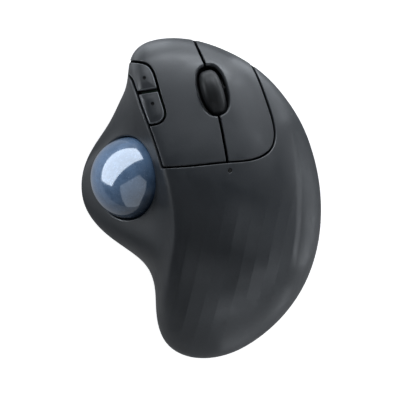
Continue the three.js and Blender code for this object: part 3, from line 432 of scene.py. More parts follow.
@dataclass(frozen=True)
class Seams:
    """Centre lines of the seams between the shell, the keys and the side buttons."""

    gap: float = 0.8
    middle_gap: float = 1.0
    button_gap: float = 1.1
    slot: tuple[float, float] = (4.6, 44.6)
    slot_half: tuple[float, float] = (6.1, 10.8)
    slot_power: float = 2.5
    turn: float = WHEEL_TURN
    button_bottom: float = 13.0

    def ridge(self) -> np.ndarray:
        """Seam along the crease, front to rear."""
        on_crease = [(float(FORM.curves["ridge"](y)), y) for y in (47, 39, 31, 24, 18, 10)]
        return smooth_line([(-33.5, 52.4), (-30, 50.2)] + on_crease)

    def rear(self) -> np.ndarray:
        """Seam behind the keys, then forward along the right key."""
        r = FORM.curves["ridge"]
        return smooth_line([
            (float(r(12.4)) - 2.5, 12.3), (float(r(12.4)) - 0.3, 12.4), (-4.8, 13.1), (10.6, 14.7),
            (18.6, 15.4), (24.4, 17), (28.6, 20.2), (30.3, 25), (29.6, 32), (27.2, 40),
            (23.4, 50.6), (19, 60), (16, 66),
        ], 900)

    def middle(self) -> np.ndarray:
        """Seam between the two keys, front to rear."""
        return smooth_line([
            (-5.6, 72), (-3.1, 66.2), (0, 58.9), (3.4, 50), (5, 42), (7.2, 33.6), (8.9, 25.2),
            (10.7, 14.6), (11, 12),
        ], 900)

    def buttons(self) -> np.ndarray:
        """Seam round the side buttons, from the nose to the crease."""
        r = FORM.curves["ridge"]
        return smooth_line([
            (-36, 57.4), (-31, 57), (-25.9, 56.4), (-22.2, 55.1), (-20, 52.2), (-17.7, 44.8),
            (-15.6, 38), (-15, 34), (-17, 31), (float(r(29.8)) - 0.3, 29.8),
            (float(r(29.4)) - 2.5, 29.2),
        ], 900)

    def split(self) -> np.ndarray:
        """Seam between the two side buttons, left to right."""
        r = FORM.curves["ridge"]
        return smooth_line([(float(r(43.2)) - 2, 42.9), (-22, 44.1), (-15.5, 45.2)], 200)

    def slot_path(self, start: float, end: float) -> np.ndarray:
        """Part of the wheel slot's edge, between two angles in the slot's own frame.

        Args:
            start: angle where it starts.
            end: angle where it ends.

        Returns:
            The edge's plan points.
        """
        u, v = oval(self.slot_half, self.slot_power, np.linspace(start, end, 500)).T
        c, s = math.cos(self.turn), math.sin(self.turn)
        return np.column_stack([self.slot[0] + u * c - v * s, self.slot[1] + u * s + v * c])


SEAMS = Seams()


@dataclass
class Border:
    """One stretch of a panel's border in plan, with the radius that its edge is rounded to."""

    line: np.ndarray
    radius: float = 0.4
    rim: bool = False


def crossing(a: np.ndarray, b: np.ndarray) -> tuple[float, float]:
    """Where two plan lines cross.

    Args:
        a: first line.
        b: second line.

    Returns:
        The crossing's position along each line, as an index with a fraction.
    """
    p, r = a[:-1, None], np.diff(a, axis=0)[:, None]
    q, s = b[None, :-1], np.diff(b, axis=0)[None]

    def cross(m: np.ndarray, n: np.ndarray) -> np.ndarray:
        """Size of the cross product of plan vectors."""
        return m[..., 0] * n[..., 1] - m[..., 1] * n[..., 0]

    den = cross(r, s)
    den = np.where(np.abs(den) < 1e-14, np.nan, den)
    t, u = cross(q - p, s) / den, cross(q - p, r) / den
    hit = np.argwhere((t >= 0) & (t < 1) & (u >= 0) & (u < 1))
    if not len(hit):
        raise ValueError(f"lines do not cross: {a[0]}..{a[-1]} and {b[0]}..{b[-1]}")
    i, j = hit[0]
    return i + t[i, j], j + u[i, j]


def part_of(line: np.ndarray, start: float, end: float) -> np.ndarray:
    """The stretch of a line between two positions along it.

    Args:
        line: plan points.
        start: position where it starts, as an index with a fraction.
        end: position where it ends.

    Returns:
        The stretch's points.
    """

    def at(t: float) -> np.ndarray:
        """The line's point at one position along it."""
        here, after = line[int(t)], line[min(int(t) + 1, len(line) - 1)]
        return here + (t - int(t)) * (after - here)

    keep = line[int(math.floor(start)) + 1 : int(math.ceil(end))]
    return np.vstack([at(start), keep, at(end)])


def even_steps(line: np.ndarray, step: float) -> np.ndarray:
    """The line's points respaced to even steps as measured on the surface.

    Args:
        line: plan points.
        step: the spacing wanted.

    Returns:
        The respaced points.
    """
    t = np.linspace(0, len(line) - 1, max(4 * len(line), 4000))
    fine = np.stack([np.interp(t, np.arange(len(line)), line[:, k]) for k in (0, 1)], 1)
    run = np.concatenate([[0], np.cumsum(np.linalg.norm(np.diff(FORM.lift(fine), axis=0), axis=1))])
    want = np.linspace(0, run[-1], max(3, int(math.ceil(run[-1] / step)) + 1))
    return np.stack([np.interp(want, run, fine[:, k]) for k in (0, 1)], 1)


def chain(borders: list[Border], step: float = 0.55) -> list[Border]:
    """Trims each border where it crosses its neighbours, so that together they close.

    Args:
        borders: stretches in order round the panel.
        step: spacing of the points that they end up with.

    Returns:
        The trimmed and evenly stepped stretches.
    """
    n = len(borders)
    cuts = [crossing(borders[i].line, borders[(i + 1) % n].line) for i in range(n)]
    out = []
    for i, b in enumerate(borders):
        line = part_of(b.line, cuts[i - 1][1], cuts[i][0])
        out.append(Border(even_steps(line, step), b.radius, b.rim))
    return out


def distance_to(points: np.ndarray, line: np.ndarray) -> tuple[np.ndarray, np.ndarray]:
    """Plan distance from points to a line, and the unit direction towards it.

    Args:
        points: plan points.
        line: the line's points.

    Returns:
        Distances, and unit vectors from each point to its nearest place on the line.
    """
    best = np.full(len(points), 1e9)
    way = np.zeros((len(points), 2))
    a, d = line[:-1], np.diff(line, axis=0)
    length = np.maximum((d**2).sum(1), 1e-18)
    for first in range(0, len(points), 2000):
        p = points[first : first + 2000]
        t = np.clip(((p[:, None] - a[None]) * d[None]).sum(-1) / length[None], 0, 1)
        to = a[None] + t[..., None] * d[None] - p[:, None]
        far = (to**2).sum(-1)
        k = far.argmin(1)
        rows = np.arange(len(p))
        best[first : first + 2000] = np.sqrt(far[rows, k])
        way[first : first + 2000] = to[rows, k]
    norm = np.linalg.norm(way, axis=1, keepdims=True)
    return best, way / np.where(norm < 1e-9, 1, norm)


def within(points: np.ndarray, loops: list[np.ndarray]) -> np.ndarray:
    """Which plan points lie inside closed loops, holes counted out.

    Args:
        points: plan points.
        loops: the loops.

    Returns:
        True for each point inside.
    """
    inside = np.zeros(len(points), bool)
    for loop in loops:
        a, b = loop, np.roll(loop, -1, axis=0)
        for first in range(0, len(points), 4000):
            p = points[first : first + 4000, None]
            spans = (a[None, :, 1] > p[..., 1]) != (b[None, :, 1] > p[..., 1])
            rise = np.where(b[:, 1] == a[:, 1], 1e-12, b[:, 1] - a[:, 1])
            at = a[None, :, 0] + (p[..., 1] - a[None, :, 1]) * ((b[:, 0] - a[:, 0]) / rise)[None]
            inside[first : first + 4000] ^= ((spans & (p[..., 0] < at)).sum(1) % 2).astype(bool)
    return inside


# ------------------------------------------------------------------ mesh helpers
def deselect() -> None:
    """Leaves edit mode and deselects every object."""
    if bpy.context.object and bpy.context.object.mode != "OBJECT":
        bpy.ops.object.mode_set(mode="OBJECT")
    bpy.ops.object.select_all(action="DESELECT")


def activate(obj: bpy.types.Object) -> None:
    """Makes one object the only selected and active one."""
    deselect()
    obj.select_set(True)
    bpy.context.view_layer.objects.active = obj


def settle(obj: bpy.types.Object, name: str, smooth_deg: float = 35.0) -> bpy.types.Object:
    """Names a finished piece and bakes its place into its mesh.

    Args:
        obj: the piece.
        name: its name.
        smooth_deg: edges flatter than this are shaded smooth.

    Returns:
        The same piece.
    """
    activate(obj)
    bpy.ops.object.transform_apply(location=True, rotation=True, scale=True)
    if smooth_deg:
        bpy.ops.object.shade_smooth_by_angle(angle=math.radians(smooth_deg))
    obj.name = obj.data.name = name
    return obj


def apply_modifier(obj: bpy.types.Object, kind: str, **settings: object) -> None:
    """Adds a modifier with its settings and applies it.

    Args:
        obj: the piece.
        kind: the modifier's type.
        settings: its settings.
    """
    activate(obj)
    mod = obj.modifiers.new(kind.lower(), kind)
    for key, value in settings.items():
        setattr(mod, key, value)
    bpy.ops.object.modifier_apply(modifier=mod.name)


def cut_away(obj: bpy.types.Object, cutters: Sequence[bpy.types.Object]) -> None:
    """Cuts pieces out of an object and removes the cutters.

    Args:
        obj: the piece.
        cutters: the pieces to cut out.
    """
    for cutter in cutters:
        apply_modifier(obj, "BOOLEAN", object=cutter, operation="DIFFERENCE", solver="EXACT")
        bpy.data.objects.remove(cutter)


def mesh_from(name: str, points: np.ndarray, faces: Sequence[Sequence[int]]) -> bpy.types.Object:
    """A mesh object from points in millimetres and faces.

    Args:
        name: the object's name.
        points: its points.
        faces: point numbers of each face.

    Returns:
        The object.
    """
    mesh = bpy.data.meshes.new(name)
    mesh.from_pydata((np.asarray(points) * MM).tolist(), [], [list(map(int, f)) for f in faces])
    obj = bpy.data.objects.new(name, mesh)
    bpy.context.scene.collection.objects.link(obj)
    return obj


def edit_all() -> None:
    """Enters edit mode on the active piece, with all of it selected."""
    bpy.ops.object.mode_set(mode="EDIT")
    bpy.ops.mesh.select_all(action="SELECT")


def face_out() -> None:
    """Turns the edited piece's faces outwards and leaves edit mode."""
    bpy.ops.mesh.select_all(action="SELECT")
    bpy.ops.mesh.normals_make_consistent(inside=False)
    bpy.ops.object.mode_set(mode="OBJECT")


def prism(plan: np.ndarray, z0: float, z1: float) -> bpy.types.Object:
    """Upright prism over a plan outline, extruded from a filled circle laid on that outline.

    Args:
        plan: the outline's points.
        z0: its lowest height.
        z1: its highest height.

    Returns:
        The prism.
    """
    deselect()
    bpy.ops.mesh.primitive_circle_add(vertices=len(plan), fill_type="NGON")
    obj = bpy.context.object
    for v, (x, y) in zip(obj.data.vertices, plan):
        v.co = (x * MM, y * MM, z0 * MM)
    edit_all()
    bpy.ops.mesh.extrude_region_move(TRANSFORM_OT_translate={"value": (0, 0, (z1 - z0) * MM)})
    face_out()
    return obj


# ------------------------------------------------------------------ panels of the outer skin
@dataclass
class Panel:
    """A moulded panel of the outer skin, with rounded edges and its full wall."""

    name: str
    borders: list[Border]
    holes: list[Border] = field(default_factory=list)
    spacing: float = 1.0
    crown: float = 0.0
    crown_run: float = 4.0
    faceted: bool = False
    dimple: tuple[float, float, float, float] | None = None
    thickness: float = 2.0
    clear_of: tuple[np.ndarray, float] | None = None

    STEEP = 0.9
    BAND_SHARES = (0.05, 0.12, 0.25, 0.42, 0.58, 0.75, 0.88, 0.95, 1.0)
    FLANK_OFFSETS = (-0.6, -0.3, 0.0, 0.35, 0.75, 1.2, 1.65, 2.1, 2.5)
    FLANK_MIDDLE, FLANK_CLEAR = 0.95, 2.0
    DIMPLE_SHARES = (0.25, 0.5, 0.7, 0.85, 1.0, 1.15)
    EDGE_ROLLS = (0.035, 0.075, 0.12, 0.17, 0.225, 0.285, 0.35, 0.42, 0.49, 0.56, 0.63, 0.7, 0.76,
                  0.81, 0.855, 0.89)
    FILLET_DEGREES = (72, 54, 36, 18, 0)

    @staticmethod
    def hexes(low: np.ndarray, high: np.ndarray, step: float) -> np.ndarray:
        """Plan points in staggered rows over a box."""
        xs = np.arange(low[0], high[0], step)
        return np.vstack([np.column_stack([xs + (k % 2) * step / 2, np.full(len(xs), y)])
                          for k, y in enumerate(np.arange(low[1], high[1], step * 0.866))])

    def along_facets(self, rear: float) -> np.ndarray:
        """Plan points in lines along the palm's flat bands, close together at each band's edges.

        Args:
            rear: where the lines start, at the panel's rear.

        Returns:
            The points.
        """
        lines = np.array(FORM.facet_lines)
        lines = np.concatenate([lines[0] + 6.2 * np.arange(-5, 0), lines,
                                lines[-1] + 5.0 * np.arange(1, 3)])
        along = (lines[:-1, None] + np.array(self.BAND_SHARES) * np.diff(lines)[:, None]).ravel()
        along += FORM.facet_shift
        return np.vstack([np.column_stack([along - FORM.lean(y), np.full(len(along), y)])
                          for y in np.arange(rear, -6, 0.95)])

    def along_flank(self) -> np.ndarray:
        """Plan points in lines along the soft edge of the right flank."""
        ys = np.arange(-33, 36, 0.8)
        line = FORM.curves["flank"](ys)
        return np.vstack([np.column_stack([line + t, ys]) for t in self.FLANK_OFFSETS])

    def off_flank(self, points: np.ndarray) -> np.ndarray:
        """Which plan points lie clear of the flank's lines."""
        t = points[:, 0] - FORM.curves["flank"](points[:, 1])
        return np.abs(t - self.FLANK_MIDDLE) > self.FLANK_CLEAR

    @staticmethod
    def near_crease(points: np.ndarray) -> np.ndarray:
        """Which plan points lie close to the crease above the thumb."""
        t = points[:, 0] - FORM.curves["ridge"](points[:, 1])
        return (t < 3) & (t > -5)

    def grid(self, low: np.ndarray, high: np.ndarray) -> np.ndarray:
        """Evenly spread plan points, closer together along the crease.

        Args:
            low: the panel's lowest corner in plan.
            high: the panel's highest corner in plan.

        Returns:
            The points, some of which may lie outside the panel.
        """
        coarse, fine = (self.hexes(low, high, self.spacing * share) for share in (1, 0.55))
        coarse, fine = coarse[~self.near_crease(coarse)], fine[self.near_crease(fine)]
        if not self.faceted:
            return self.steep_out(np.vstack([coarse, fine]))
        bands = self.along_facets(low[1])
        bands = bands[~self.near_crease(bands)]
        bands = bands[self.off_flank(bands) | (bands[:, 1] < FORM.flank_ends[0])]
        past = np.abs(coarse[:, 1]) > FORM.flank_ends[1]
        coarse = coarse[(coarse[:, 1] > -6) & (self.off_flank(coarse) | past)]
        spread = self.steep_out(np.vstack([coarse, bands]))
        return np.vstack([spread, self.along_flank(), self.steep_out(fine)])

    @staticmethod
    def steep_out(points: np.ndarray) -> np.ndarray:
        """Only the plan points that lie inside the rolled edge."""
        return points[FORM.roll(points[:, 0], points[:, 1]) > Panel.STEEP]

    def dimple_rings(self) -> np.ndarray:
        """Rings of plan points round the dimple.

        Returns:
            The points, or none where there is no dimple.
        """
        if self.dimple is None:
            return np.zeros((0, 2))
        x, y, r, _ = self.dimple
        a = np.linspace(0, 2 * math.pi, 24, endpoint=False)
        return np.vstack([[[x, y]], *(round_at((x, y), r * t, a) for t in self.DIMPLE_SHARES)])

    def edge_rows(self, rims: list[np.ndarray]) -> np.ndarray:
        """Rows of plan points up the rolled edge, over the rim's own points.

        Args:
            rims: the stretches that end at the rim.

        Returns:
            The rows' points.
        """
        rows = []
        for rim in rims:
            angle, _ = FORM.polar(rim[:, 0], rim[:, 1])
            base = float(FORM.roll(rim[:, 0], rim[:, 1]).mean())
            base = 0 if base < 0.02 else base
            rows += [FORM.plan(angle, np.full_like(angle, t)) for t in self.EDGE_ROLLS if t > base + 0.03]
        return np.vstack(rows) if rows else np.zeros((0, 2))

    def fillet_rows(self, loops: list[list[Border]]) -> list[tuple[np.ndarray, float]]:
        """Rows of plan points beside each seam, over which the edge is rounded.

        Args:
            loops: the panel's borders, loop by loop.

        Returns:
            Each row with its distance from its own border.
        """
        rows = []
        for borders in loops:
            for b in borders:
                if b.rim or b.radius <= 0:
                    continue
                t = np.gradient(b.line, axis=0)
                t /= np.maximum(np.linalg.norm(t, axis=1, keepdims=True), 1e-9)
                inward = np.stack([-t[:, 1], t[:, 0]], 1)
                for deg in self.FILLET_DEGREES:
                    d = b.radius * (1 - math.sin(math.radians(deg)))
                    rows.append((b.line + inward * d, d))
        return rows

    def build(self) -> bpy.types.Object:
        """Meshes the panel.

        Returns:
            The finished panel, with the surface's own normals on it.
        """
        loops = [self.borders] + [[h] for h in self.holes]
        closed = [np.vstack([b.line[:-1] for b in borders]) for borders in loops]
        every = [b for borders in loops for b in borders]
        corner = np.vstack(closed)
        low, high = corner.min(0), corner.max(0)
        points = [corner]

        def keep(candidates: np.ndarray, least: Callable[[Border], float]) -> np.ndarray:
            """Only the points inside the panel and at their least distance from each border."""
            candidates = candidates[within(candidates, closed)]
            for b in every:
                candidates = candidates[distance_to(candidates, b.line)[0] > least(b)]
            return candidates

        grid = self.grid(low, high)
        if self.dimple is not None:
            x, y, r, _ = self.dimple
            grid = grid[np.hypot(grid[:, 0] - x, grid[:, 1] - y) > 1.35 * r]
        # A point stays out of every rounded edge but its own.
        points.append(keep(np.vstack([grid, self.dimple_rings()]),
                           lambda b: 0.25 if b.rim else max(b.radius, 0.05) + 0.12))
        points.append(keep(self.edge_rows([b.line for b in every if b.rim]),
                           lambda b: -1.0 if b.rim else b.radius + 0.05))
        for row, own in self.fillet_rows(loops):
            points.append(keep(row, lambda b, d=own: 1e-3 if b.rim else d - 1e-3))
        plan = np.vstack(points)
        _, first = np.unique(np.round(plan, 4), axis=0, return_index=True)
        first.sort()
        if set(range(len(corner))) <= set(first.tolist()):
            plan = plan[first]
        edges, start = [], 0
        for loop in closed:
            n = len(loop)
            edges += [(start + i, start + (i + 1) % n) for i in range(n)]
            start += n
        made = delaunay_2d_cdt([Vector(p) for p in plan.tolist()], edges, [], 0, 1e-7)
        verts = np.array([v[:] for v in made[0]])
        tris = np.array([f for f in made[2] if len(f) == 3])
        tris = tris[within(verts[tris].mean(1), closed)]
        border_edges = self.border_of(tris)
        used = np.unique(tris)
        order = np.full(len(verts), -1)
        order[used] = np.arange(len(used))
        return self.raise_up(verts[used], order[tris], order[border_edges], every)

    @staticmethod
    def border_of(tris: np.ndarray) -> np.ndarray:
        """Edges that only one triangle uses, in that triangle's direction.

        Args:
            tris: the triangles.

        Returns:
            The edges.
        """
        edges = np.vstack([tris[:, [0, 1]], tris[:, [1, 2]], tris[:, [2, 0]]])
        keys = np.sort(edges, axis=1)
        _, index, count = np.unique(keys, axis=0, return_index=True, return_counts=True)
        return edges[index[count == 1]]

    def raise_up(self, plan: np.ndarray, tris: np.ndarray, rim: np.ndarray,
                 borders: list[Border]) -> bpy.types.Object:
        """Lifts the flat mesh onto the surface and gives it its wall.

        Args:
            plan: plan points.
            tris: triangles over them.
            rim: the border's edges.
            borders: the stretches whose edges are rounded.

        Returns:
            The panel as an object.
        """
        base, normal = FORM.lift(plan), FORM.normals(plan)
        drop, rounding = np.zeros(len(plan)), np.zeros(len(plan))
        shade = normal.copy()
        nearest = np.full(len(plan), 1e9)
        for b in borders:
            d, way = distance_to(plan, b.line)
            if not b.rim:
                nearest = np.minimum(nearest, d)
            if b.rim or b.radius <= 0:
                continue
            sine = np.clip(1 - d / b.radius, 0, 1)
            cosine = np.sqrt(np.clip(1 - sine**2, 0, 1))
            fall = b.radius * (1 - cosine)
            out = np.column_stack([way, np.zeros(len(way))])
            on_edge = d < 1e-4
            if on_edge.any():
                t = np.gradient(b.line, axis=0)
                k = ((plan[on_edge, None] - b.line[None]) ** 2).sum(-1).argmin(1)
                out[on_edge, :2] = np.stack([t[k, 1], -t[k, 0]], 1)
            out -= (out * normal).sum(1, keepdims=True) * normal
            out /= np.maximum(np.linalg.norm(out, axis=1, keepdims=True), 1e-9)
            more = fall > drop
            drop = np.where(more, fall, drop)
            rounding = np.maximum(rounding, sine)
            shade[more] = (normal * cosine[:, None] + out * sine[:, None])[more]
        if self.crown:
            lift = self.crown * FORM.ease(nearest / self.crown_run)
            grow = 0.05
            more = np.zeros((len(plan), 2))
            for axis in (0, 1):
                for sign in (1, -1):
                    moved = plan.copy()
                    moved[:, axis] += sign * grow
                    far = np.min([distance_to(moved, b.line)[0] for b in borders if not b.rim], axis=0)
                    more[:, axis] += sign * self.crown * FORM.ease(far / self.crown_run) / (2 * grow)
            base = base + normal * lift[:, None]
            shade[:, :2] -= more * 0.9
            shade /= np.linalg.norm(shade, axis=1, keepdims=True)
        if self.dimple is not None:
            x, y, r, deep = self.dimple
            t = np.hypot(plan[:, 0] - x, plan[:, 1] - y) / r
            sink = deep * np.clip(1 - t * t, 0, 1) ** 2
            slope = deep * 4 * t * np.clip(1 - t * t, 0, 1) / r
            base = base - normal * sink[:, None]
            shade[:, :2] -= (slope / np.maximum(t * r, 1e-6))[:, None] * (plan - (x, y))
            shade /= np.linalg.norm(shade, axis=1, keepdims=True)
        top = base - normal * drop[:, None]
        under = base - normal * self.thickness
        if self.clear_of is not None:
            middle, radius = self.clear_of
            away = under - middle
            far = np.linalg.norm(away, axis=1, keepdims=True)
            under = np.where(far < radius, middle + away / far * radius, under)
        n = len(plan)
        faces = [tuple(t) for t in tris] + [(t[2] + n, t[1] + n, t[0] + n) for t in tris]
        faces += [(int(a) + n, int(b) + n, int(b), int(a)) for a, b in rim]
        obj = mesh_from(self.name, np.vstack([top, under]), faces)
        obj.data.polygons.foreach_set("use_smooth", [True] * len(obj.data.polygons))
        obj.data.normals_split_custom_set_from_vertices(np.vstack([shade, -normal]).tolist())
        # How far each point lies into its rounded edge, kept for the material, which paints a highlight there.
        band = obj.data.attributes.new("rounding", "FLOAT", "POINT")
        band.data.foreach_set("value", np.concatenate([rounding, np.zeros(n)]))
        obj.data.update()
        LOG.info("%s: border closed: %s", self.name, set(rim[:, 0]) == set(rim[:, 1]))
        return obj


# ------------------------------------------------------------------ shader helpers
class Nodes:
    """Adds and joins shader nodes in one tree."""

    def __init__(self, tree: bpy.types.NodeTree) -> None:
        """Keeps the tree."""
        self.tree = tree

    def add(self, kind: str, inputs: dict[str | int, object] | None = None,
            **settings: object) -> bpy.types.Node:
        """Adds a node.

        Args:
            kind: the node's type, without the prefix.
            inputs: constants or sockets for its inputs, by name or number.
            settings: the node's own settings.

        Returns:
            The new node.
        """
        node = self.tree.nodes.new("ShaderNode" + kind)
        for key, value in settings.items():
            setattr(node, key, value)
        for key, value in (inputs or {}).items():
            self.feed(node.inputs[key], value)
        return node

    def feed(self, socket: bpy.types.NodeSocket, value: object) -> None:
        """Joins a socket to another, or sets its constant.

        Args:
            socket: the socket to feed.
            value: a socket or a constant.
        """
        if isinstance(value, bpy.types.NodeSocket):
            self.tree.links.new(value, socket)
        elif isinstance(value, tuple) and len(value) == 3 and socket.type == "RGBA":
            socket.default_value = (*value, 1.0)
        else:
            socket.default_value = value

    def math(self, operation: str, *values: object, clamp: bool = False) -> bpy.types.NodeSocket:
        """Output of a math node over values or sockets."""
        node = self.add("Math", dict(enumerate(values)), operation=operation, use_clamp=clamp)
        return node.outputs[0]

    def flip(self, value: object, clamp: bool = False) -> bpy.types.NodeSocket:
        """One less a value, which turns a mask round."""
        return self.math("SUBTRACT", 1.0, value, clamp=clamp)

    def blend(self, first: object, share: float, second: object) -> bpy.types.NodeSocket:
        """Two values added, each times its share of the whole."""
        return self.math("ADD", self.math("MULTIPLY", first, share),
                         self.math("MULTIPLY", second, round(1 - share, 6)))

    def vector(self, operation: str, *values: object) -> bpy.types.NodeSocket:
        """Output of a vector math node over values or sockets."""
        node = self.add("VectorMath", dict(enumerate(values)), operation=operation)
        return node.outputs["Value" if operation in ("LENGTH", "DOT_PRODUCT") else "Vector"]

    def remap(self, value: object, low: float, high: float, to_low: float = 0.0,
              to_high: float = 1.0, smooth: bool = True) -> bpy.types.NodeSocket:
        """A value carried from one range to another, held at the ends."""
        kind = "SMOOTHSTEP" if smooth else "LINEAR"
        return self.add("MapRange", {0: value, 1: low, 2: high, 3: to_low, 4: to_high},
                        interpolation_type=kind).outputs[0]

    def between(self, share: object, low: float, high: float) -> bpy.types.NodeSocket:
        """A value that a share from 0 to 1 carries evenly from low to high."""
        return self.remap(share, 0.0, 1.0, low, high, smooth=False)

    def mix(self, share: object, first: object, second: object) -> bpy.types.NodeSocket:
        """Two colours mixed by a share.

        Args:
            share: how much of the second.
            first: the first colour.
            second: the second colour.

        Returns:
            The mixed colour.
        """
        node = self.add("Mix", data_type="RGBA", clamp_factor=True)
        for socket, value in ((0, share), (6, first), (7, second)):
            self.feed(node.inputs[socket], value)
        return node.outputs[2]

    def noise(self, at: object, size: float, detail: float = 2.0,
              rough: float = 0.5) -> bpy.types.NodeSocket:
        """Soft noise whose blotches are about a size across, in millimetres."""
        node = self.add("TexNoise", {"Vector": at, "Scale": 1 / (size * MM), "Detail": detail,
                                     "Roughness": rough})
        return node.outputs["Fac"]


class Effect(Enum):
    """Surface effects that several finishes share, each a node group."""

    GRAIN = "moulded_grain"
    WEAR = "edge_wear"
    HANDLING = "handling_marks"


class Effects:
    """Builds each shared effect once and places it in materials."""

    made: dict[Effect, bpy.types.NodeTree] = {}

    @classmethod
    def group(cls, effect: Effect, inputs: dict[str, tuple[str, object]],
              outputs: dict[str, str]) -> tuple[Nodes, bpy.types.Node, bpy.types.Node]:
        """Starts a node group with named inputs and outputs.

        Args:
            effect: the effect it holds.
            inputs: socket kind and default by name.
            outputs: socket kind by name.

        Returns:
            The group's helper, its input node and its output node.
        """
        tree = bpy.data.node_groups.new(effect.value, "ShaderNodeTree")
        for name, (kind, value) in inputs.items():
            made = tree.interface.new_socket(name, in_out="INPUT", socket_type="NodeSocket" + kind)
            if value is not None:
                made.default_value = value
        for name, kind in outputs.items():
            tree.interface.new_socket(name, in_out="OUTPUT", socket_type="NodeSocket" + kind)
        cls.made[effect] = tree
        return Nodes(tree), tree.nodes.new("NodeGroupInput"), tree.nodes.new("NodeGroupOutput")

    @classmethod
    def build_grain(cls) -> None:
        """Fine eroded texture of a moulding: rounded pits and a soft wander in tone."""
        kit, into, out = cls.group(
            Effect.GRAIN,
            {"At": ("Vector", None), "Pitch": ("Float", 3000.0)},
            {"Height": "Float", "Tone": "Float"},
        )
        at, pitch = into.outputs["At"], into.outputs["Pitch"]
        cells = kit.add("TexVoronoi", {"Vector": at, "Scale": pitch, "Smoothness": 0.6},
                        feature="SMOOTH_F1").outputs["Distance"]
        fuzz = kit.add("TexNoise", {"Vector": at, "Scale": kit.math("MULTIPLY", pitch, 0.45),
                                    "Detail": 3.0}).outputs["Fac"]
        height = kit.math("ADD", kit.math("MULTIPLY", cells, 0.6), kit.math("MULTIPLY", fuzz, 0.7))
        wander = kit.add("TexNoise", {"Vector": at, "Scale": 55.0, "Detail": 3.0}).outputs["Fac"]
        tone = kit.blend(wander, 0.55, fuzz)
        kit.feed(out.inputs["Height"], height)
        kit.feed(out.inputs["Tone"], kit.remap(tone, 0.3, 0.7))

    @classmethod
    def build_wear(cls) -> None:
        """Mask of convex edges, broken up as handling breaks them."""
        kit, into, out = cls.group(
            Effect.WEAR,
            {"At": ("Vector", None), "Start": ("Float", 0.53), "Full": ("Float", 0.62)},
            {"Mask": "Float"},
        )
        point = kit.add("NewGeometry").outputs["Pointiness"]
        edge = kit.add("MapRange", {0: point, 1: into.outputs["Start"],
                                    2: into.outputs["Full"]}).outputs[0]
        broken = kit.remap(kit.noise(into.outputs["At"], 1.6, 4.0, 0.6), 0.35, 0.65, 0.35, 1.0)
        kit.feed(out.inputs["Mask"], kit.math("MULTIPLY", edge, broken, clamp=True))

    @classmethod
    def build_handling(cls) -> None:
        """Mask of faint smudges that hands leave, large and soft."""
        kit, into, out = cls.group(
            Effect.HANDLING, {"At": ("Vector", None), "Span": ("Float", 60.0)}, {"Mask": "Float"})
        at = into.outputs["At"]
        broad = kit.add("TexNoise", {"Vector": at, "Scale": into.outputs["Span"], "Detail": 2.0,
                                     "Distortion": 0.6}).outputs["Fac"]
        streak = kit.add("TexNoise", {
            "Vector": kit.vector("MULTIPLY", at, (1.0, 0.35, 1.0)),
            "Scale": kit.math("MULTIPLY", into.outputs["Span"], 9.0), "Detail": 3.0}).outputs["Fac"]
        kit.feed(out.inputs["Mask"], kit.remap(kit.blend(broad, 0.75, streak), 0.38, 0.64))

    @classmethod
    def place(cls, kit: Nodes, effect: Effect, **inputs: object) -> bpy.types.Node:
        """Puts an effect into a material's tree.

        Args:
            kit: the material's helper.
            effect: which effect.
            inputs: values or sockets for the group's inputs.

        Returns:
            The group node.
        """
        if effect not in cls.made:
            {Effect.GRAIN: cls.build_grain, Effect.WEAR: cls.build_wear,
             Effect.HANDLING: cls.build_handling}[effect]()
        node = kit.add("Group", node_tree=cls.made[effect])
        for name, value in inputs.items():
            kit.feed(node.inputs[name], value)
        return node


# ------------------------------------------------------------------ finishes
Colour = tuple[float, float, float]


@dataclass(frozen=True)
class Finish:
    """A surface finish: its name, its slot in the record, and how its material is made."""

    name: str
    slot: str

    def start(self, constants: dict[str | int, object]) -> tuple[
            bpy.types.Material, Nodes, bpy.types.Node, bpy.types.NodeSocket]:
        """Starts an empty material with a shader.

        Args:
            constants: values that the shader's own sockets hold all over the surface.

        Returns:
            The material, its helper, its shader and the object's coordinates.
        """
        material = bpy.data.materials.new(self.name)
        material.use_nodes = True
        tree = material.node_tree
        tree.nodes.clear()
        kit = Nodes(tree)
        shader = kit.add("BsdfPrincipled", constants)
        output = tree.nodes.new("ShaderNodeOutputMaterial")
        tree.links.new(shader.outputs[0], output.inputs[0])
        return material, kit, shader, kit.add("TexCoord").outputs["Object"]

    def make(self) -> bpy.types.Material:
        """Builds the material; each kind of finish has its own."""
        raise NotImplementedError

    def dress(self, obj: bpy.types.Object) -> None:
        """Gives a piece or a carried node this finish.

        Args:
            obj: the piece.
        """
        material = bpy.data.materials.get(self.name) or self.make()
        obj.data.materials.clear()
        obj.data.materials.append(material)

    @staticmethod
    def bump(kit: Nodes, shader: bpy.types.Node, height: object, depth: float) -> None:
        """Lays a height over the shader's normal, at a depth in millimetres."""
        node = kit.add("Bump", {"Strength": 1.0, "Distance": depth * MM, "Height": height})
        kit.feed(shader.inputs["Normal"], node.outputs[0])


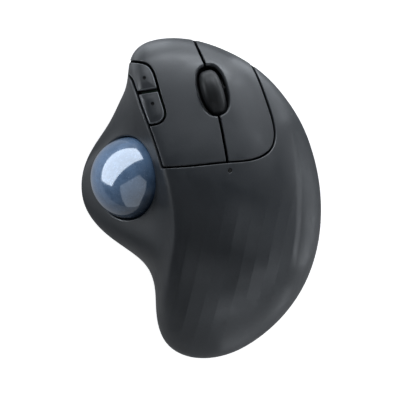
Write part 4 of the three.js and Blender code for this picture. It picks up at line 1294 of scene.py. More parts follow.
@dataclass(frozen=True)
class MouldedPlastic(Finish):
    """Matte moulded plastic with an eroded grain, faint smudges, paler worn edges and a painted highlight
    along the rounded edges of the skin's panels.
    """

    dark: Colour = (0.02, 0.022, 0.024)
    light: Colour = (0.03, 0.033, 0.036)
    edge: Colour = (0.07, 0.075, 0.08)
    rough: tuple[float, float] = (0.42, 0.54)
    grain: float = 0.32
    depth: float = 0.012
    wear: float = 0.35
    coat: float = 0.0
    specular: float = 0.5
    # A dot darkens the colour over a side button's dimple: painted shade in the dimple.
    dot: tuple[float, float] | None = None
    dot_edge: tuple[float, float] = (0.6, 0.85)
    dimple_shade_colour: Colour = (0.004, 0.004, 0.0045)

    def make(self) -> bpy.types.Material:
        """Builds the material.

        Returns:
            The material.
        """
        material, kit, shader, at = self.start({
            "Specular IOR Level": self.specular, "Coat Weight": self.coat, "Coat Roughness": 0.25})
        grain = Effects.place(kit, Effect.GRAIN, At=at, Pitch=1 / (self.grain * MM))
        wear_and_painted_rim = Effects.place(kit, Effect.WEAR, At=at).outputs["Mask"]
        marks = Effects.place(kit, Effect.HANDLING, At=at).outputs["Mask"]
        # Along the skin panels' rounded edges the paler edge colour is a painted highlight, laid over the real
        # edge wear.
        rounding = kit.add("Attribute", attribute_name="rounding").outputs["Fac"]
        wear_and_painted_rim = kit.math("MAXIMUM", wear_and_painted_rim, kit.remap(rounding, 0.0, 0.7))
        body = kit.mix(grain.outputs["Tone"], self.dark, self.light)
        body = kit.mix(kit.math("MULTIPLY", wear_and_painted_rim, self.wear), body, self.edge)
        # Painted shade: the colour over the dimple is darkened, and its specular is turned down.
        if self.dot is not None:
            flat = kit.vector("MULTIPLY", at, (1.0, 1.0, 0.0))
            far = kit.vector("SUBTRACT", flat, (self.dot[0] * MM, self.dot[1] * MM, 0.0))
            dimple_shade = kit.flip(kit.remap(kit.vector("LENGTH", far), *(r * MM for r in self.dot_edge)))
            body = kit.mix(dimple_shade, body, self.dimple_shade_colour)
            kit.feed(shader.inputs["Specular IOR Level"], kit.between(dimple_shade, self.specular, 0.05))
        kit.feed(shader.inputs["Base Color"], body)
        rough = kit.between(marks, self.rough[1], self.rough[0])
        kit.feed(shader.inputs["Roughness"],
                 kit.math("SUBTRACT", rough, kit.math("MULTIPLY", wear_and_painted_rim, 0.08), clamp=True))
        self.bump(kit, shader, grain.outputs["Height"], self.depth)
        return material


@dataclass(frozen=True)
class PearlGloss(Finish):
    """Polished ball: deep colour with a fine pearl speckle under a clear gloss."""

    deep: Colour = (0.027, 0.047, 0.078)
    bright: Colour = (0.042, 0.068, 0.108)
    fleck: Colour = (0.16, 0.21, 0.29)
    fleck_size: float = 0.2

    def make(self) -> bpy.types.Material:
        """Builds the material.

        Returns:
            The material.
        """
        material, kit, shader, at = self.start(
            {"Coat Weight": 1.0, "Coat Roughness": 0.03, "Specular IOR Level": 0.6})
        cells = kit.add("TexVoronoi", {"Vector": at, "Scale": 1 / (self.fleck_size * MM)})
        chance = kit.add("SeparateColor", {0: cells.outputs["Color"]}).outputs[0]
        cloud = kit.remap(kit.noise(at, 5.0, 4.0, 0.6), 0.35, 0.65)
        body = kit.mix(cloud, self.deep, self.bright)
        body = kit.mix(kit.remap(chance, 0.5, 1.0, 0.0, 0.35), body, self.bright)
        fleck = kit.remap(chance, 0.93, 0.97)
        body = kit.mix(kit.math("MULTIPLY", fleck, 0.7), body, self.fleck)
        kit.feed(shader.inputs["Base Color"], body)
        marks = Effects.place(kit, Effect.HANDLING, At=at, Span=90.0).outputs["Mask"]
        kit.feed(shader.inputs["Roughness"], kit.between(marks, 0.10, 0.17))
        kit.feed(shader.inputs["Metallic"], kit.between(fleck, 0.0, 0.5))
        self.bump(kit, shader, kit.noise(at, 0.5, 2.0), 0.0006)
        return material


@dataclass(frozen=True)
class Metal(Finish):
    """Turned, drawn or plated metal with fine tool marks and dulled patches."""

    colour: Colour = (0.62, 0.61, 0.58)
    dull: Colour = (0.38, 0.37, 0.35)
    rough: tuple[float, float] = (0.22, 0.4)
    mark: float = 0.12

    def make(self) -> bpy.types.Material:
        """Builds the material.

        Returns:
            The material.
        """
        material, kit, shader, at = self.start({"Metallic": 1.0})
        lines = kit.noise(kit.vector("MULTIPLY", at, (1.0, 1.0, 6.0)), self.mark, 3.0)
        patch = kit.remap(kit.noise(at, 2.4, 4.0, 0.6), 0.4, 0.7)
        kit.feed(shader.inputs["Base Color"], kit.mix(patch, self.colour, self.dull))
        kit.feed(shader.inputs["Roughness"], kit.between(patch, *self.rough))
        self.bump(kit, shader, lines, 0.006)
        return material


@dataclass(frozen=True)
class Board(Finish):
    """Lacquered circuit board with copper tracks showing under the lacquer and tinned pads."""

    lacquer: Colour = (0.006, 0.05, 0.02)
    track: Colour = (0.02, 0.13, 0.05)
    pad: Colour = (0.55, 0.5, 0.38)

    def make(self) -> bpy.types.Material:
        """Builds the material.

        Returns:
            The material.
        """
        material, kit, shader, at = self.start({"Coat Weight": 0.4, "Coat Roughness": 0.2})
        bricks = kit.add("TexBrick", {"Vector": at, "Scale": 420.0, "Mortar Size": 0.07})
        track = kit.flip(bricks.outputs["Fac"], clamp=True)
        spots = kit.add("TexVoronoi", {"Vector": at, "Scale": 330.0}).outputs["Distance"]
        pads = kit.flip(kit.remap(spots, 0.13, 0.17))
        body = kit.mix(kit.math("MULTIPLY", track, 0.6), self.track, self.lacquer)
        kit.feed(shader.inputs["Base Color"], kit.mix(pads, body, self.pad))
        kit.feed(shader.inputs["Metallic"], kit.math("MULTIPLY", pads, 0.8))
        kit.feed(shader.inputs["Roughness"], kit.remap(kit.noise(at, 1.2, 3.0), 0.3, 0.7, 0.25, 0.42))
        self.bump(kit, shader, kit.math("ADD", kit.math("MULTIPLY", track, 0.5), pads), 0.03)
        return material


@dataclass(frozen=True)
class ClearPlastic(Finish):
    """Smoky clear moulding with a lightly frosted face."""

    tint: Colour = (0.1, 0.105, 0.11)

    def make(self) -> bpy.types.Material:
        """Builds the material.

        Returns:
            The material.
        """
        material, kit, shader, at = self.start({"Transmission Weight": 0.7, "IOR": 1.49})
        cloud = kit.remap(kit.noise(at, 0.8, 3.0), 0.35, 0.65)
        dark = tuple(c * 0.8 for c in self.tint)
        kit.feed(shader.inputs["Base Color"], kit.mix(cloud, self.tint, dark))
        kit.feed(shader.inputs["Roughness"], kit.between(cloud, 0.16, 0.3))
        self.bump(kit, shader, kit.noise(at, 0.25, 2.0), 0.004)
        return material


@dataclass(frozen=True)
class CellWrap(Finish):
    """Shrunk sleeve of a dry cell: a plain two-colour wrap with bare metal ends."""

    sleeve: Colour = (0.02, 0.02, 0.024)
    band: Colour = (0.5, 0.3, 0.06)
    metal: Colour = (0.6, 0.6, 0.6)
    band_from: float = -6.0
    ends: tuple[float, float] = (-44.3, 3.8)

    def make(self) -> bpy.types.Material:
        """Builds the material.

        Returns:
            The material.
        """
        material, kit, shader, at = self.start({})
        along = kit.add("SeparateXYZ", {0: at}).outputs["Y"]
        band, front, wrapped = (
            kit.remap(along, (y - soft) * MM, (y + soft) * MM)
            for y, soft in ((self.band_from, 0.2), (self.ends[1], 0.1), (self.ends[0], 0.1)))
        bare = kit.math("SUBTRACT", kit.math("ADD", front, 1.0), wrapped, clamp=True)
        scuff = kit.remap(kit.noise(at, 1.8, 5.0, 0.65), 0.45, 0.75)
        body = kit.mix(band, self.sleeve, self.band)
        body = kit.mix(kit.math("MULTIPLY", scuff, 0.12), body, (0.4, 0.4, 0.4))
        kit.feed(shader.inputs["Base Color"], kit.mix(bare, body, self.metal))
        kit.feed(shader.inputs["Metallic"], bare)
        kit.feed(shader.inputs["Roughness"], kit.between(scuff, 0.24, 0.42))
        self.bump(kit, shader, kit.noise(kit.vector("MULTIPLY", at, (1.0, 0.3, 1.0)), 0.9, 3.0), 0.02)
        return material


GRAPHITE = MouldedPlastic("graphite_moulding", "graphite_plastic", dark=(0.0125, 0.015, 0.0185),
                          light=(0.018, 0.0215, 0.026), rough=(0.34, 0.44))
# The side buttons' pale edge colour at full share paints a bright highlight strip along their rounded edges,
# widest on the crease side, besides their edge wear.
CAP_TONES = {"dark": (0.011, 0.0133, 0.0165), "light": (0.0165, 0.0195, 0.024), "rough": (0.32, 0.42),
             "edge": (0.15, 0.162, 0.175), "wear": 1.0}
FRONT_CAP = MouldedPlastic("front_button_moulding", "graphite_plastic", dot=(-23.6, 49.5), **CAP_TONES)
BACK_CAP = MouldedPlastic("back_button_moulding", "graphite_plastic", dot=(-20.1, 38.7), **CAP_TONES)
# The lip in the wheel slot is a darker copy of the graphite moulding: painted shade inside the slot.
SLOT_SHADE = MouldedPlastic("slot_shade_moulding", "graphite_plastic", dark=(0.006, 0.0065, 0.007),
                            light=(0.011, 0.012, 0.013), rough=(0.3, 0.4), wear=0.4)
BASE_BLACK = MouldedPlastic("base_moulding", "dark_plastic", dark=(0.012, 0.013, 0.0145),
                            light=(0.02, 0.0215, 0.024), rough=(0.46, 0.6), grain=0.42, depth=0.018)
NYLON = MouldedPlastic("black_nylon", "black_nylon", dark=(0.009, 0.0095, 0.0105),
                       light=(0.017, 0.018, 0.02), rough=(0.36, 0.5), grain=0.5, depth=0.01, wear=0.25)
WHITE = MouldedPlastic("white_moulding", "white_plastic", dark=(0.62, 0.62, 0.6), light=(0.74, 0.74, 0.72),
                       edge=(0.8, 0.8, 0.78), rough=(0.3, 0.42), grain=0.5, depth=0.006, wear=0.2)
CERAMIC = MouldedPlastic("polished_ceramic", "ceramic", dark=(0.66, 0.63, 0.57), light=(0.8, 0.77, 0.7),
                         edge=(0.85, 0.82, 0.76), rough=(0.08, 0.14), grain=0.3, depth=0.001, wear=0.1,
                         coat=0.6)
TYRE_RUBBER = MouldedPlastic("wheel_rubber", "rubber", dark=(0.0075, 0.0083, 0.0092),
                             light=(0.011, 0.012, 0.0135), edge=(0.02, 0.021, 0.023), rough=(0.44, 0.54),
                             grain=0.24, depth=0.006, wear=0.2, specular=0.32)
FOOT_RUBBER = MouldedPlastic("foot_rubber", "rubber", dark=(0.016, 0.017, 0.0185),
                             light=(0.03, 0.0315, 0.034), edge=(0.09, 0.09, 0.092), rough=(0.55, 0.72),
                             grain=0.3, depth=0.012, wear=0.6)
BALL_PEARL = PearlGloss("pearl_ball", "ball_gloss")
STEEL = Metal("bright_steel", "steel")
CONTACT = Metal("plated_contact", "contact_metal", colour=(0.72, 0.68, 0.58), dull=(0.5, 0.46, 0.38),
                rough=(0.18, 0.32))
BOARD = Board("circuit_board", "circuit_board")
CLEAR = ClearPlastic("smoky_clear", "clear_plastic")
SLEEVE = CellWrap("cell_sleeve", "cell_wrap")

# Darker copies of the steel, nylon and clear finishes. On the axle, pin, spring, cradle and encoder parts,
# seen through the gap round the wheel, their darkness is painted shade in the slot; the light pipe also takes
# the dark clear.
DARK_STEEL = Metal("slot_shade_steel", "steel", colour=(0.035, 0.035, 0.036), dull=(0.02, 0.02, 0.02),
                   rough=(0.4, 0.55))
CRADLE_BLACK = MouldedPlastic("cradle_nylon", "black_nylon", dark=(0.003, 0.0032, 0.0035),
                              light=(0.005, 0.0053, 0.0058), edge=(0.007, 0.007, 0.0075), rough=(0.6, 0.7),
                              grain=0.5, depth=0.01, wear=0.2, specular=0.12)
DARK_CLEAR = ClearPlastic("dark_clear", "clear_plastic", tint=(0.02, 0.021, 0.022))

NODE_FINISHES: dict[str, Finish] = {
    "wheel_axle": DARK_STEEL, "cradle_pin": DARK_STEEL, "cradle_spring": DARK_STEEL,
    "wheel_cradle": CRADLE_BLACK, "status_light_pipe": DARK_CLEAR,
    "encoder_emitter": DARK_CLEAR, "encoder_detector": DARK_CLEAR,
}
SLOT_FINISHES: dict[str, Finish] = {
    f.slot: f
    for f in (GRAPHITE, BASE_BLACK, NYLON, WHITE, CERAMIC, FOOT_RUBBER, BALL_PEARL, STEEL, CONTACT,
              BOARD, CLEAR, SLEEVE)
}


# ------------------------------------------------------------------ sub-assemblies
@dataclass
class Assembly:
    """A group of pieces that are made together."""

    pieces: list[bpy.types.Object] = field(default_factory=list)

    def finish_piece(self, obj: bpy.types.Object, finish: Finish, body: str, *nodes: str) -> None:
        """Dresses a piece and puts it on its body.

        Args:
            obj: the piece.
            finish: its finish.
            body: the body that it moves with.
            nodes: frame nodes that it stands for.
        """
        finish.dress(obj)
        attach(obj, body)
        if nodes:
            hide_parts(*nodes)
        self.pieces.append(obj)


@dataclass
class OuterSkin(Assembly):
    """Palm shell, click keys and side buttons, cut from one sculpted surface."""

    ball: tuple[float, float, float] = BALL_CENTRE
    ball_radius: float = BALL_RADIUS
    socket: float = 0.6
    pipe: tuple[float, float] = (11.6, 11.2)
    pipe_hole: float = 0.88
    key_rim: float = 6.0
    front_dot: tuple[float, float] = FRONT_CAP.dot
    back_dot: tuple[float, float] = BACK_CAP.dot
    cap_look: dict[str, float] = field(default_factory=lambda: {
        "spacing": 0.6, "crown": 0.25, "crown_run": 3.2, "thickness": 1.8})
    dimple: tuple[float, float] = (0.9, 0.14)
    lip_points: int = 75

    def half_middle(self, front: bool, towards: Side) -> np.ndarray:
        """One side of the seam between the keys, ahead of or behind the wheel.

        Args:
            front: ahead of the wheel, not behind it.
            towards: which key's side.

        Returns:
            The side's plan points.
        """
        line = SEAMS.middle()
        line = line[line[:, 1] > SEAMS.slot[1]] if front else line[line[:, 1] < SEAMS.slot[1]]
        if towards is Side.LEFT:
            return beside(line[::-1], SEAMS.middle_gap / 2)
        return beside(line, SEAMS.middle_gap / 2)

    def left_key(self) -> bpy.types.Object:
        """Left click key.

        Returns:
            The key's panel.
        """
        g = SEAMS.gap / 2
        lines = chain([
            Border(beside(SEAMS.rear(), g)),
            Border(self.half_middle(False, Side.LEFT)),
            Border(SEAMS.slot_path(math.radians(-88), math.radians(-272)), 0.9),
            Border(self.half_middle(True, Side.LEFT)),
            Border(FORM.contour(self.key_rim, math.radians(90), math.radians(125), 900), 0, True),
            Border(beside(SEAMS.buttons(), SEAMS.button_gap / 2)),
            Border(beside(SEAMS.ridge(), g)),
        ])
        return Panel("left_key_skin", lines).build()

    def right_key(self) -> bpy.types.Object:
        """Right click key."""
        lines = chain([
            Border(beside(SEAMS.rear(), SEAMS.gap / 2)),
            Border(FORM.contour(self.key_rim, math.radians(20), math.radians(100), 1600), 0, True),
            Border(self.half_middle(True, Side.RIGHT)),
            Border(SEAMS.slot_path(math.radians(92), math.radians(-92)), 0.9),
            Border(self.half_middle(False, Side.RIGHT)),
        ])
        return Panel("right_key_skin", lines).build()

    def forward_cap(self) -> bpy.types.Object:
        """Front side button.

        Returns:
            The button's panel.
        """
        g = SEAMS.button_gap / 2
        lines = chain([
            Border(beside(SEAMS.split(), g + 0.35), 0.4),
            Border(beside(SEAMS.buttons()[::-1], g), 0.45),
            Border(FORM.contour(SEAMS.button_bottom, math.radians(110), math.radians(130)), 0, True),
            Border(beside(SEAMS.ridge(), SEAMS.gap / 2), 0.95),
        ], 0.4)
        return Panel("forward_cap", lines, dimple=(*self.front_dot, *self.dimple), **self.cap_look).build()

    def back_cap(self) -> bpy.types.Object:
        """Rear side button.

        Returns:
            The button's panel.
        """
        g = SEAMS.button_gap / 2
        lines = chain([
            Border(beside(SEAMS.buttons()[::-1], g), 0.45),
            Border(beside(SEAMS.split()[::-1], g + 0.35), 0.4),
            Border(beside(SEAMS.ridge(), SEAMS.gap / 2), 0.95),
        ], 0.4)
        return Panel("back_cap", lines, dimple=(*self.back_dot, *self.dimple), **self.cap_look).build()

    def slot_collar(self, side: Side) -> bpy.types.Object:
        """Sloping lip inside the wheel's slot, on one key.

        Args:
            side: which key's half of the slot.

        Returns:
            The lip, tucked under the key's rounded edge.
        """
        start, end, reach = (86, -62, 1.25) if side is Side.RIGHT else (94, 242, 0.75)
        rim = SEAMS.slot_path(math.radians(start), math.radians(end))
        rim = rim[np.linspace(0, len(rim) - 1, self.lip_points).astype(int)]
        inward = np.array(SEAMS.slot) - rim
        inward /= np.linalg.norm(inward, axis=1, keepdims=True)
        taper = FORM.ease(np.arange(self.lip_points)[::-1] / 20)[:, None] * 0.85 + 0.15
        rings = []
        for inset, deep in ((-0.7, 0.9), (-0.1, 0.75), (0.35, 1.15), (reach, 2.1), (reach + 0.12, 2.5),
                            (reach, 3.6), (reach - 0.6, 3.8), (-0.6, 1.9)):
            plan = rim + inward * (inset * (taper if inset > 0 else 1))
            depth = deep * (0.55 + 0.45 * taper[:, 0])
            rings.append(np.column_stack([plan, FORM.lift(rim)[:, 2] - depth]))
        grid = np.array(rings)
        m, n = grid.shape[:2]
        faces = [(i * n + j, i * n + j + 1, ((i + 1) % m) * n + j + 1, ((i + 1) % m) * n + j)
                 for i in range(m) for j in range(n - 1)]
        faces += [tuple(i * n for i in range(m))[::-1], tuple(i * n + n - 1 for i in range(m))]
        obj = mesh_from(f"slot_lip_{side.name.lower()}", grid.reshape(-1, 3), faces)
        activate(obj)
        edit_all()
        face_out()
        return settle(obj, obj.name, 70)

    def ball_opening(self) -> np.ndarray:
        """Rim of the ball's opening in plan, walked clockwise.

        Returns:
            The rim's plan points.
        """
        a = -np.linspace(0, 2 * math.pi, 721)
        low, high = np.zeros_like(a), np.full_like(a, self.ball_radius + self.socket + 0.5)
        middle = np.array(self.ball)
        for _ in range(40):
            r = (low + high) / 2
            far = np.linalg.norm(FORM.lift(round_at(self.ball, r, a)) - middle, axis=1)
            inside = far < self.ball_radius + self.socket
            low, high = np.where(inside, r, low), np.where(inside, high, r)
        return round_at(self.ball, high, a)

    def palm_shell(self) -> bpy.types.Object:
        """Palm and thumb shell, round the keys and with the ball's opening in it.

        Returns:
            The shell.
        """
        g = SEAMS.gap / 2
        nose = [(-22.0, 56.0), (-24.5, 56.15), (-36, 57.05), (-38, 57.2)]
        below_caps = SEAMS.button_bottom - SEAMS.gap
        lines = chain([
            Border(FORM.outline(math.radians(112), math.radians(440), 6000), 0, True),
            Border(beside(SEAMS.rear()[::-1], g)),
            Border(beside(SEAMS.ridge()[::-1], g)),
            Border(FORM.contour(below_caps, math.radians(130), math.radians(108)), 0, True),
            Border(smooth_line(nose, 60)),
        ])
        opening = even_steps(self.ball_opening(), 0.45)
        pipe = round_at(self.pipe, self.pipe_hole, -np.linspace(0, 2 * math.pi, 33))
        holes = [Border(opening, 0.7), Border(pipe, 0.25)]
        clear = (np.array(self.ball), self.ball_radius + self.socket + 0.3)
        return Panel("palm_shell", lines, holes, clear_of=clear, faceted=True).build()

    def build(self) -> None:
        """Makes every panel of the skin."""
        for skin, finish, body, *nodes in (
            (self.palm_shell(), GRAPHITE, "housing", "upper_shell"),
            (self.left_key(), GRAPHITE, "left_key", "left_key"),
            (self.right_key(), GRAPHITE, "right_key", "right_key"),
            (self.forward_cap(), FRONT_CAP, "forward_button", "forward_button"),
            (self.back_cap(), BACK_CAP, "back_button", "back_button"),
            (self.slot_collar(Side.LEFT), SLOT_SHADE, "left_key"),
            (self.slot_collar(Side.RIGHT), SLOT_SHADE, "right_key"),
        ):
            self.finish_piece(skin, finish, body, *nodes)


@dataclass
class Trackball(Assembly):
    """The ball under the thumb."""

    centre: tuple[float, float, float] = BALL_CENTRE
    radius: float = BALL_RADIUS
    cuts: int = 47

    def build(self) -> None:
        """Rounds a finely divided cube into a ball, so that it has no poles."""
        deselect()
        bpy.ops.mesh.primitive_cube_add(size=2 * self.radius * MM,
                                        location=tuple(c * MM for c in self.centre))
        ball = bpy.context.object
        edit_all()
        bpy.ops.mesh.subdivide(number_cuts=self.cuts)
        bpy.ops.object.mode_set(mode="OBJECT")
        for v in ball.data.vertices:
            # Even spread over the sphere: each cube coordinate is taken as a turn, not a length.
            t = [math.tan(c / (self.radius * MM) * math.pi / 4) for c in v.co]
            v.co = Vector(t).normalized() * (self.radius - 0.002) * MM
        settle(ball, "thumb_ball", 60)
        self.finish_piece(ball, BALL_PEARL, "ball", "trackball")


def lathe(profile: Sequence[tuple[float, float]], steps: int, centre: Vector, axis: Vector,
          outward: Vector) -> bpy.types.Object:
    """Closed ring spun from a closed profile.

    Args:
        profile: radius and distance along the axis of each point, in millimetres, going round.
        steps: how many steps the turn takes.
        centre: a point on the axis, in metres.
        axis: the axis.
        outward: a direction square to the axis, in which the profile is drawn.

    Returns:
        The ring.
    """
    deselect()
    bpy.ops.mesh.primitive_circle_add(vertices=len(profile), fill_type="NOTHING")
    obj = bpy.context.object
    for v, (r, u) in zip(obj.data.vertices, profile):
        v.co = centre + outward * (r * MM) + axis * (u * MM)
    edit_all()
    bpy.ops.mesh.spin(steps=steps, angle=2 * math.pi, center=centre, axis=axis)
    bpy.ops.mesh.select_all(action="SELECT")
    bpy.ops.mesh.remove_doubles(threshold=0.005 * MM)
    face_out()
    return obj


@dataclass
class ScrollWheel(Assembly):
    """Rubber tyre and slotted hub of the scroll wheel."""

    x: float = 4.9
    y: float = 41.6
    z: float = 22.0
    turn: float = WHEEL_TURN
    radius: float = 11.5
    half_width: float = 5.15
    tyre_half: float = 4.72
    inner: float = 7.6
    rim_half: float = 3.76
    slots: int = 8
    slot_radius: float = 0.8
    slot_circle: float = 4.8
    tread_power: float = 3.4
    clear: float = 0.02

    @property
    def centre(self) -> Vector:
        """Middle of the wheel, in metres."""
        return Vector((self.x, self.y, self.z)) * MM

    @property
    def axle(self) -> Vector:
        """Direction of the axle."""
        return Vector((math.cos(self.turn), math.sin(self.turn), 0))

    def barrel(self, u: float) -> float:
        """Radius of the rounded tread at a distance from the wheel's middle."""
        return self.radius * math.sqrt(1 - (abs(u) / self.half_width) ** self.tread_power)

    def tyre(self) -> bpy.types.Object:
        """Barrel-shaped tyre with softly rounded shoulders.

        Returns:
            The tyre.
        """
        w, inner, rim = self.tyre_half, self.inner + self.clear, self.rim_half
        crown = [(self.barrel(u) - self.clear, u) for u in np.linspace(-w, w, 41)]
        foot = self.barrel(w) - self.clear
        half = [(foot - 0.12, w - 0.12), (foot - 0.1, rim + 0.1), (foot, rim), (inner, rim)]
        profile = crown + half + [(r, -u) for r, u in reversed(half)]
        obj = lathe(profile, 128, self.centre, self.axle, Vector((0, 0, 1)))
        return settle(obj, "tyre_tread", 50)

    def hub(self) -> bpy.types.Object:
        """Hub with a rim, a web and slots for the light beam.

        Returns:
            The hub.
        """
        rim, up = self.inner - 0.3, Vector((0, 0, 1))
        half = [(1.25, 4.3), (1.35, 4.4), (2.75, 4.4), (2.9, 4.25), (3.2, 0.9), (6.3, 0.9), (6.5, 3.6),
                (6.6, 3.7), (rim - 0.1, 3.7), (rim, 3.6)]
        profile = [(r, -u) for r, u in half] + half[::-1]
        obj = lathe(profile, 64, self.centre, self.axle, up)
        cutters = []
        for i in range(self.slots):
            a = i / self.slots * 2 * math.pi
            deselect()
            side = up * math.cos(a) + self.axle.cross(up) * math.sin(a)
            bpy.ops.mesh.primitive_cylinder_add(
                vertices=20, radius=self.slot_radius * MM, depth=4 * MM,
                location=self.centre + side * self.slot_circle * MM,
                rotation=self.axle.to_track_quat("Z", "Y").to_euler())
            cutters.append(bpy.context.object)
        cut_away(obj, cutters)
        return settle(obj, "slotted_hub", 35)

    def build(self) -> None:
        """Makes the tyre and the hub."""
        self.finish_piece(self.tyre(), TYRE_RUBBER, "wheel", "wheel_tyre")
        self.finish_piece(self.hub(), NYLON, "wheel", "wheel_hub")


@dataclass
class Underside(Assembly):
    """Rubber feet and the two controls on the underside."""

    feet: dict[str, tuple[float, float, float, float, float]] = field(default_factory=lambda: {
        "front_left": (-21, 50, 6, 3.2, 0.5), "front_right": (15.5, 48.5, 6, 3.2, -0.65),
        "left": (-43.6, 4, 3, 6.5, 0.05), "rear_left": (-12.6, -53.6, 2.8, 6, 0.2),
        "right": (39, -23, 2.8, 7, -0.3),
    })
    foot_power: float = 2.4
    foot_top: float = 1.3
    clear: float = 0.02
    power: tuple[float, float] = (-9.5, 38.0)
    connect: tuple[float, float] = (20.0, 38.0)

    def foot(self, name: str) -> bpy.types.Object:
        """One oval foot with a rounded, slightly stepped sole.

        Args:
            name: the foot's place, as in feet.

        Returns:
            The foot.
        """
        x, y, w, h, turn = self.feet[name]
        plan = oval((w - self.clear, h - self.clear), self.foot_power,
                    np.linspace(0, 2 * math.pi, 48, endpoint=False))
        c, d = math.cos(turn), math.sin(turn)
        obj = prism(plan @ np.array([[c, d], [-d, c]]) + (x, y), self.clear, self.foot_top)
        activate(obj)
        bpy.ops.object.mode_set(mode="EDIT")
        bpy.ops.mesh.select_all(action="DESELECT")
        bpy.ops.object.mode_set(mode="OBJECT")
        for face in obj.data.polygons:
            face.select = abs(face.normal.z) > 0.9 and (obj.matrix_world @ face.center).z < 0.5 * MM
        bpy.ops.object.mode_set(mode="EDIT")
        bpy.ops.mesh.inset(thickness=0.45 * MM, depth=0)
        bpy.ops.mesh.inset(thickness=0.3 * MM, depth=-0.15 * MM)
        bpy.ops.object.mode_set(mode="OBJECT")
        apply_modifier(obj, "BEVEL", width=0.2 * MM, segments=3, limit_method="ANGLE",
                       angle_limit=math.radians(40))
        return settle(obj, f"foot_pad_{name}", 40)

    @staticmethod
    def slab(low: tuple[float, float, float], high: tuple[float, float, float],
             bevel: float) -> bpy.types.Object:
        """Block between two corners, with its edges rounded.

        Args:
            low: lowest corner.
            high: highest corner.
            bevel: width of the rounding.

        Returns:
            The block.
        """
        deselect()
        middle = [(a + b) / 2 * MM for a, b in zip(low, high)]
        bpy.ops.mesh.primitive_cube_add(size=1 * MM, location=middle)
        obj = bpy.context.object
        edit_all()
        bpy.ops.transform.resize(value=tuple(b - a for a, b in zip(low, high)), center_override=middle)
        bpy.ops.object.mode_set(mode="OBJECT")
        apply_modifier(obj, "BEVEL", width=bevel * MM, segments=3, limit_method="ANGLE")
        return obj

    def slider(self) -> bpy.types.Object:
        """Power slider: a ribbed thumb piece on its sliding plate.

        Returns:
            The slider.
        """
        x, y = self.power
        parts = [self.slab((x - 4.68, y - 2.78, 3.42), (x + 1.28, y + 2.78, 4.18), 0.2),
                 self.slab((x - 3.68, y - 1.48, 1.5), (x + 0.28, y + 1.48, 3.6), 0.25)]
        for k in range(4):
            at = x - 3.2 + k * 1.0
            parts.append(self.slab((at - 0.22, y - 1.2, 1.22), (at + 0.22, y + 1.2, 1.8), 0.15))
        deselect()
        for part in parts:
            part.select_set(True)
        bpy.context.view_layer.objects.active = parts[0]
        bpy.ops.object.join()
        return settle(parts[0], "slider_knob", 35)

    def button(self) -> bpy.types.Object:
        """Connect button with a dished face and a flange that keeps it in.

        Returns:
            The button.
        """
        x, y = self.connect
        profile = [(0.0, 1.55), (0.8, 1.5), (1.5, 1.34), (1.9, 1.22), (2.1, 1.22), (2.26, 1.36),
                   (2.28, 1.5), (2.28, 3.4), (3.1, 3.4), (3.18, 3.48), (3.18, 4.1), (3.1, 4.18),
                   (0.0, 4.18)]
        obj = lathe(profile, 48, Vector((x * MM, y * MM, 0)), Vector((0, 0, 1)), Vector((1, 0, 0)))
        return settle(obj, "connect_cap", 35)

    def build(self) -> None:
        """Makes the feet, the slider and the button."""
        for name in self.feet:
            self.finish_piece(self.foot(name), FOOT_RUBBER, "housing", f"foot_{name}")
        self.finish_piece(self.slider(), WHITE, "power_slider", "power_slider")
        self.finish_piece(self.button(), GRAPHITE, "connect_button", "connect_button")


@dataclass
class CarriedNodes(Assembly):
    """Frame nodes that keep their own shape and get a full finish."""

    def build(self) -> None:
        """Dresses each node by its slot in the record."""
        slots = {p["node"]: p["material_slot"] for p in frame["record"]["subparts"]}
        for name, obj in frame["nodes"].items():
            if obj.hide_render:
                continue
            finish = NODE_FINISHES.get(name, SLOT_FINISHES[slots[name]])
            finish.dress(obj)
            LOG.info("%s keeps its shape, in %s", name, finish.name)


# ------------------------------------------------------------------ studio
@dataclass
class SoftBox:
    """One soft light: where it is, where it looks, its size and its power."""

    name: str
    place: tuple[float, float, float]
    aim: tuple[float, float, float]
    size: tuple[float, float]
    power: float
    colour: Colour = (0.91, 0.965, 1.03)


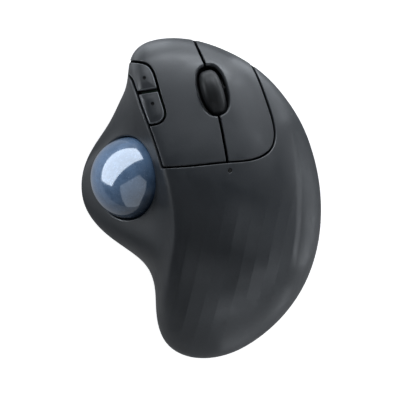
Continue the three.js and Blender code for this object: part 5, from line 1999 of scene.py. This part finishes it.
@dataclass
class Studio(Assembly):
    """Pale floor, soft lights and the camera."""

    look_at: tuple[float, float, float] = (-0.00062, -0.00083, 0.02)
    distance: float = 1.5
    focal: float = 326.0
    ring: tuple[tuple[float, float, float], ...] = (
        (0, 25, 2.1), (0, 6, 4.0), (22.5, 6, 5.7), (45, 6, 1.9), (90, 25, 0.6), (90, 50, 1.2), (90, 6, 0.4),
        (112.5, 6, 0.9), (135, 25, 1.3), (135, 6, 0.5), (157.5, 6, 1.3), (180, 25, 0.6), (180, 50, 1.2),
        (180, 6, 0.3), (225, 25, 0.3), (225, 6, 0.2), (270, 50, 0.2), (270, 6, 0.4), (292.5, 6, 4.9),
        (337.5, 6, 2.2), (0, 88, 0.4),
    )
    ring_radius: float = 1.3
    floor_seen: tuple[float, float] = (0.85, 0.85)
    floor_lit: tuple[float, float] = (0.5, 0.11)
    air_strength: float = 0.1
    floor_strips: list[SoftBox] = field(default_factory=lambda: [
        SoftBox("front_right_strip", (0.0422, 0.0599, 0.004), (0.0222, 0.0253, 0.026), (0.05, 0.012), 0.0046),
        SoftBox("front_strip", (0.003, 0.0824, 0.004), (0.003, 0.0424, 0.026), (0.07, 0.02), 0.008),
        SoftBox("front_left_strip", (-0.0399, 0.0662, 0.004), (-0.0199, 0.0316, 0.026), (0.06, 0.016), 0.003),
        SoftBox("rear_strip", (0.0385, -0.0695, 0.004), (0.0185, -0.0348, 0.026), (0.06, 0.02), 0.002),
        SoftBox("rear_right_strip", (0.0604, -0.0412, 0.004), (0.0258, -0.0212, 0.026), (0.05, 0.018), 0.0008),
        SoftBox("right_strip", (0.07, 0.004, 0.002), (0.04, 0.004, 0.022), (0.08, 0.006), 0.0034),
    ])
    ball_lights: list[SoftBox] = field(default_factory=lambda: [
        SoftBox("ball_front", (-0.253, 0.403, 0.258), (0.305, -0.211, -0.30), (1.8, 0.6), 22.0,
                (0.86, 0.95, 1.06)),
        SoftBox("ball_rear", (0.0405, -0.359, 0.377), (-0.34, 0.294, -0.276), (0.85, 0.92), 2.4,
                (0.86, 0.95, 1.06)),
    ])

    def round_boxes(self) -> list[SoftBox]:
        """Soft boxes that stand round the mouse, from their azimuths, elevations and powers.

        Returns:
            The boxes.
        """
        sizes = {6: (0.5, 0.25), 25: (0.6, 0.35), 50: (0.6, 0.4), 88: (0.6, 0.6)}
        boxes = []
        for azimuth, elevation, power in self.ring:
            a, e = math.radians(azimuth), math.radians(elevation)
            way = Vector((math.sin(a) * math.cos(e), math.cos(a) * math.cos(e), math.sin(e)))
            boxes.append(SoftBox(f"box_{round(azimuth)}_{elevation}", tuple(way * self.ring_radius),
                                 (0.0, 0.0, 0.02), sizes[elevation], power))
        return boxes

    def floor(self) -> None:
        """Wide pale floor, brighter to the camera than to the mouse that it lights."""
        deselect()
        bpy.ops.mesh.primitive_plane_add(size=6.0, location=(0, 0, 0))
        obj = bpy.context.object
        obj.name = "studio_floor"
        material = bpy.data.materials.new("floor_paper")
        material.use_nodes = True
        shader = material.node_tree.nodes["Principled BSDF"]
        shader.inputs["Roughness"].default_value = 0.9
        shader.inputs["Emission Color"].default_value = (1, 1, 1, 1)
        kit = Nodes(material.node_tree)
        seen = kit.add("LightPath").outputs["Is Camera Ray"]
        grey, glow = zip(self.floor_lit, self.floor_seen)
        kit.feed(shader.inputs["Base Color"], kit.mix(seen, *((g, g, g) for g in grey)))
        kit.feed(shader.inputs["Emission Strength"], kit.between(seen, *glow))
        obj.data.materials.append(material)

    def camera(self) -> None:
        """Camera straight above the mouse."""
        data = bpy.data.cameras.new("top_camera")
        data.sensor_width = 36.0
        data.lens = self.focal
        data.clip_start, data.clip_end = 0.05, 20.0
        obj = bpy.data.objects.new("top_camera", data)
        obj.location = (self.look_at[0], self.look_at[1], self.look_at[2] + self.distance)
        bpy.context.scene.collection.objects.link(obj)
        bpy.context.scene.camera = obj

    def lights(self) -> None:
        """Places the lights: the gloss ball has its own two, and every other light leaves it out."""
        only_ball = bpy.data.collections.new("ball_only")
        all_but_ball = bpy.data.collections.new("all_but_ball")
        for group in (only_ball, all_but_ball):
            group.objects.link(bpy.data.objects["thumb_ball"])
        all_but_ball.collection_objects[0].light_linking.link_state = "EXCLUDE"
        for box in self.round_boxes() + self.floor_strips + self.ball_lights:
            data = bpy.data.lights.new(box.name, "AREA")
            data.shape = "RECTANGLE"
            data.size, data.size_y = box.size
            data.energy = box.power
            data.color = box.colour
            obj = bpy.data.objects.new(box.name, data)
            obj.location = box.place
            way = Vector(box.aim) - Vector(box.place)
            obj.rotation_euler = way.to_track_quat("-Z", "Y").to_euler()
            obj.visible_camera = False
            bpy.context.scene.collection.objects.link(obj)
            for_ball = box in self.ball_lights
            obj.light_linking.receiver_collection = only_ball if for_ball else all_but_ball
            obj.visible_diffuse = box.name != "ball_rear"

    def air(self) -> None:
        """Even faint light from all round."""
        world = bpy.data.worlds.new("studio_air")
        world.use_nodes = True
        sky = world.node_tree.nodes["Background"].inputs
        sky["Color"].default_value = (1, 1, 1, 1)
        sky["Strength"].default_value = self.air_strength
        bpy.context.scene.world = world

    def build(self) -> None:
        """Sets the stage."""
        bpy.context.scene.view_settings.view_transform = "Standard"
        for step in (self.floor, self.camera, self.lights, self.air):
            step()


def main() -> None:
    """Builds every sub-assembly in turn and sets the stage."""
    logging.basicConfig(level=logging.INFO, format="%(message)s")
    for assembly in (OuterSkin(), Trackball(), ScrollWheel(), Underside(), CarriedNodes(), Studio()):
        assembly.build()
        for piece in assembly.pieces:
            LOG.info("%s: %d faces", piece.name, len(piece.data.polygons))


if __name__ == "__main__":
    main()
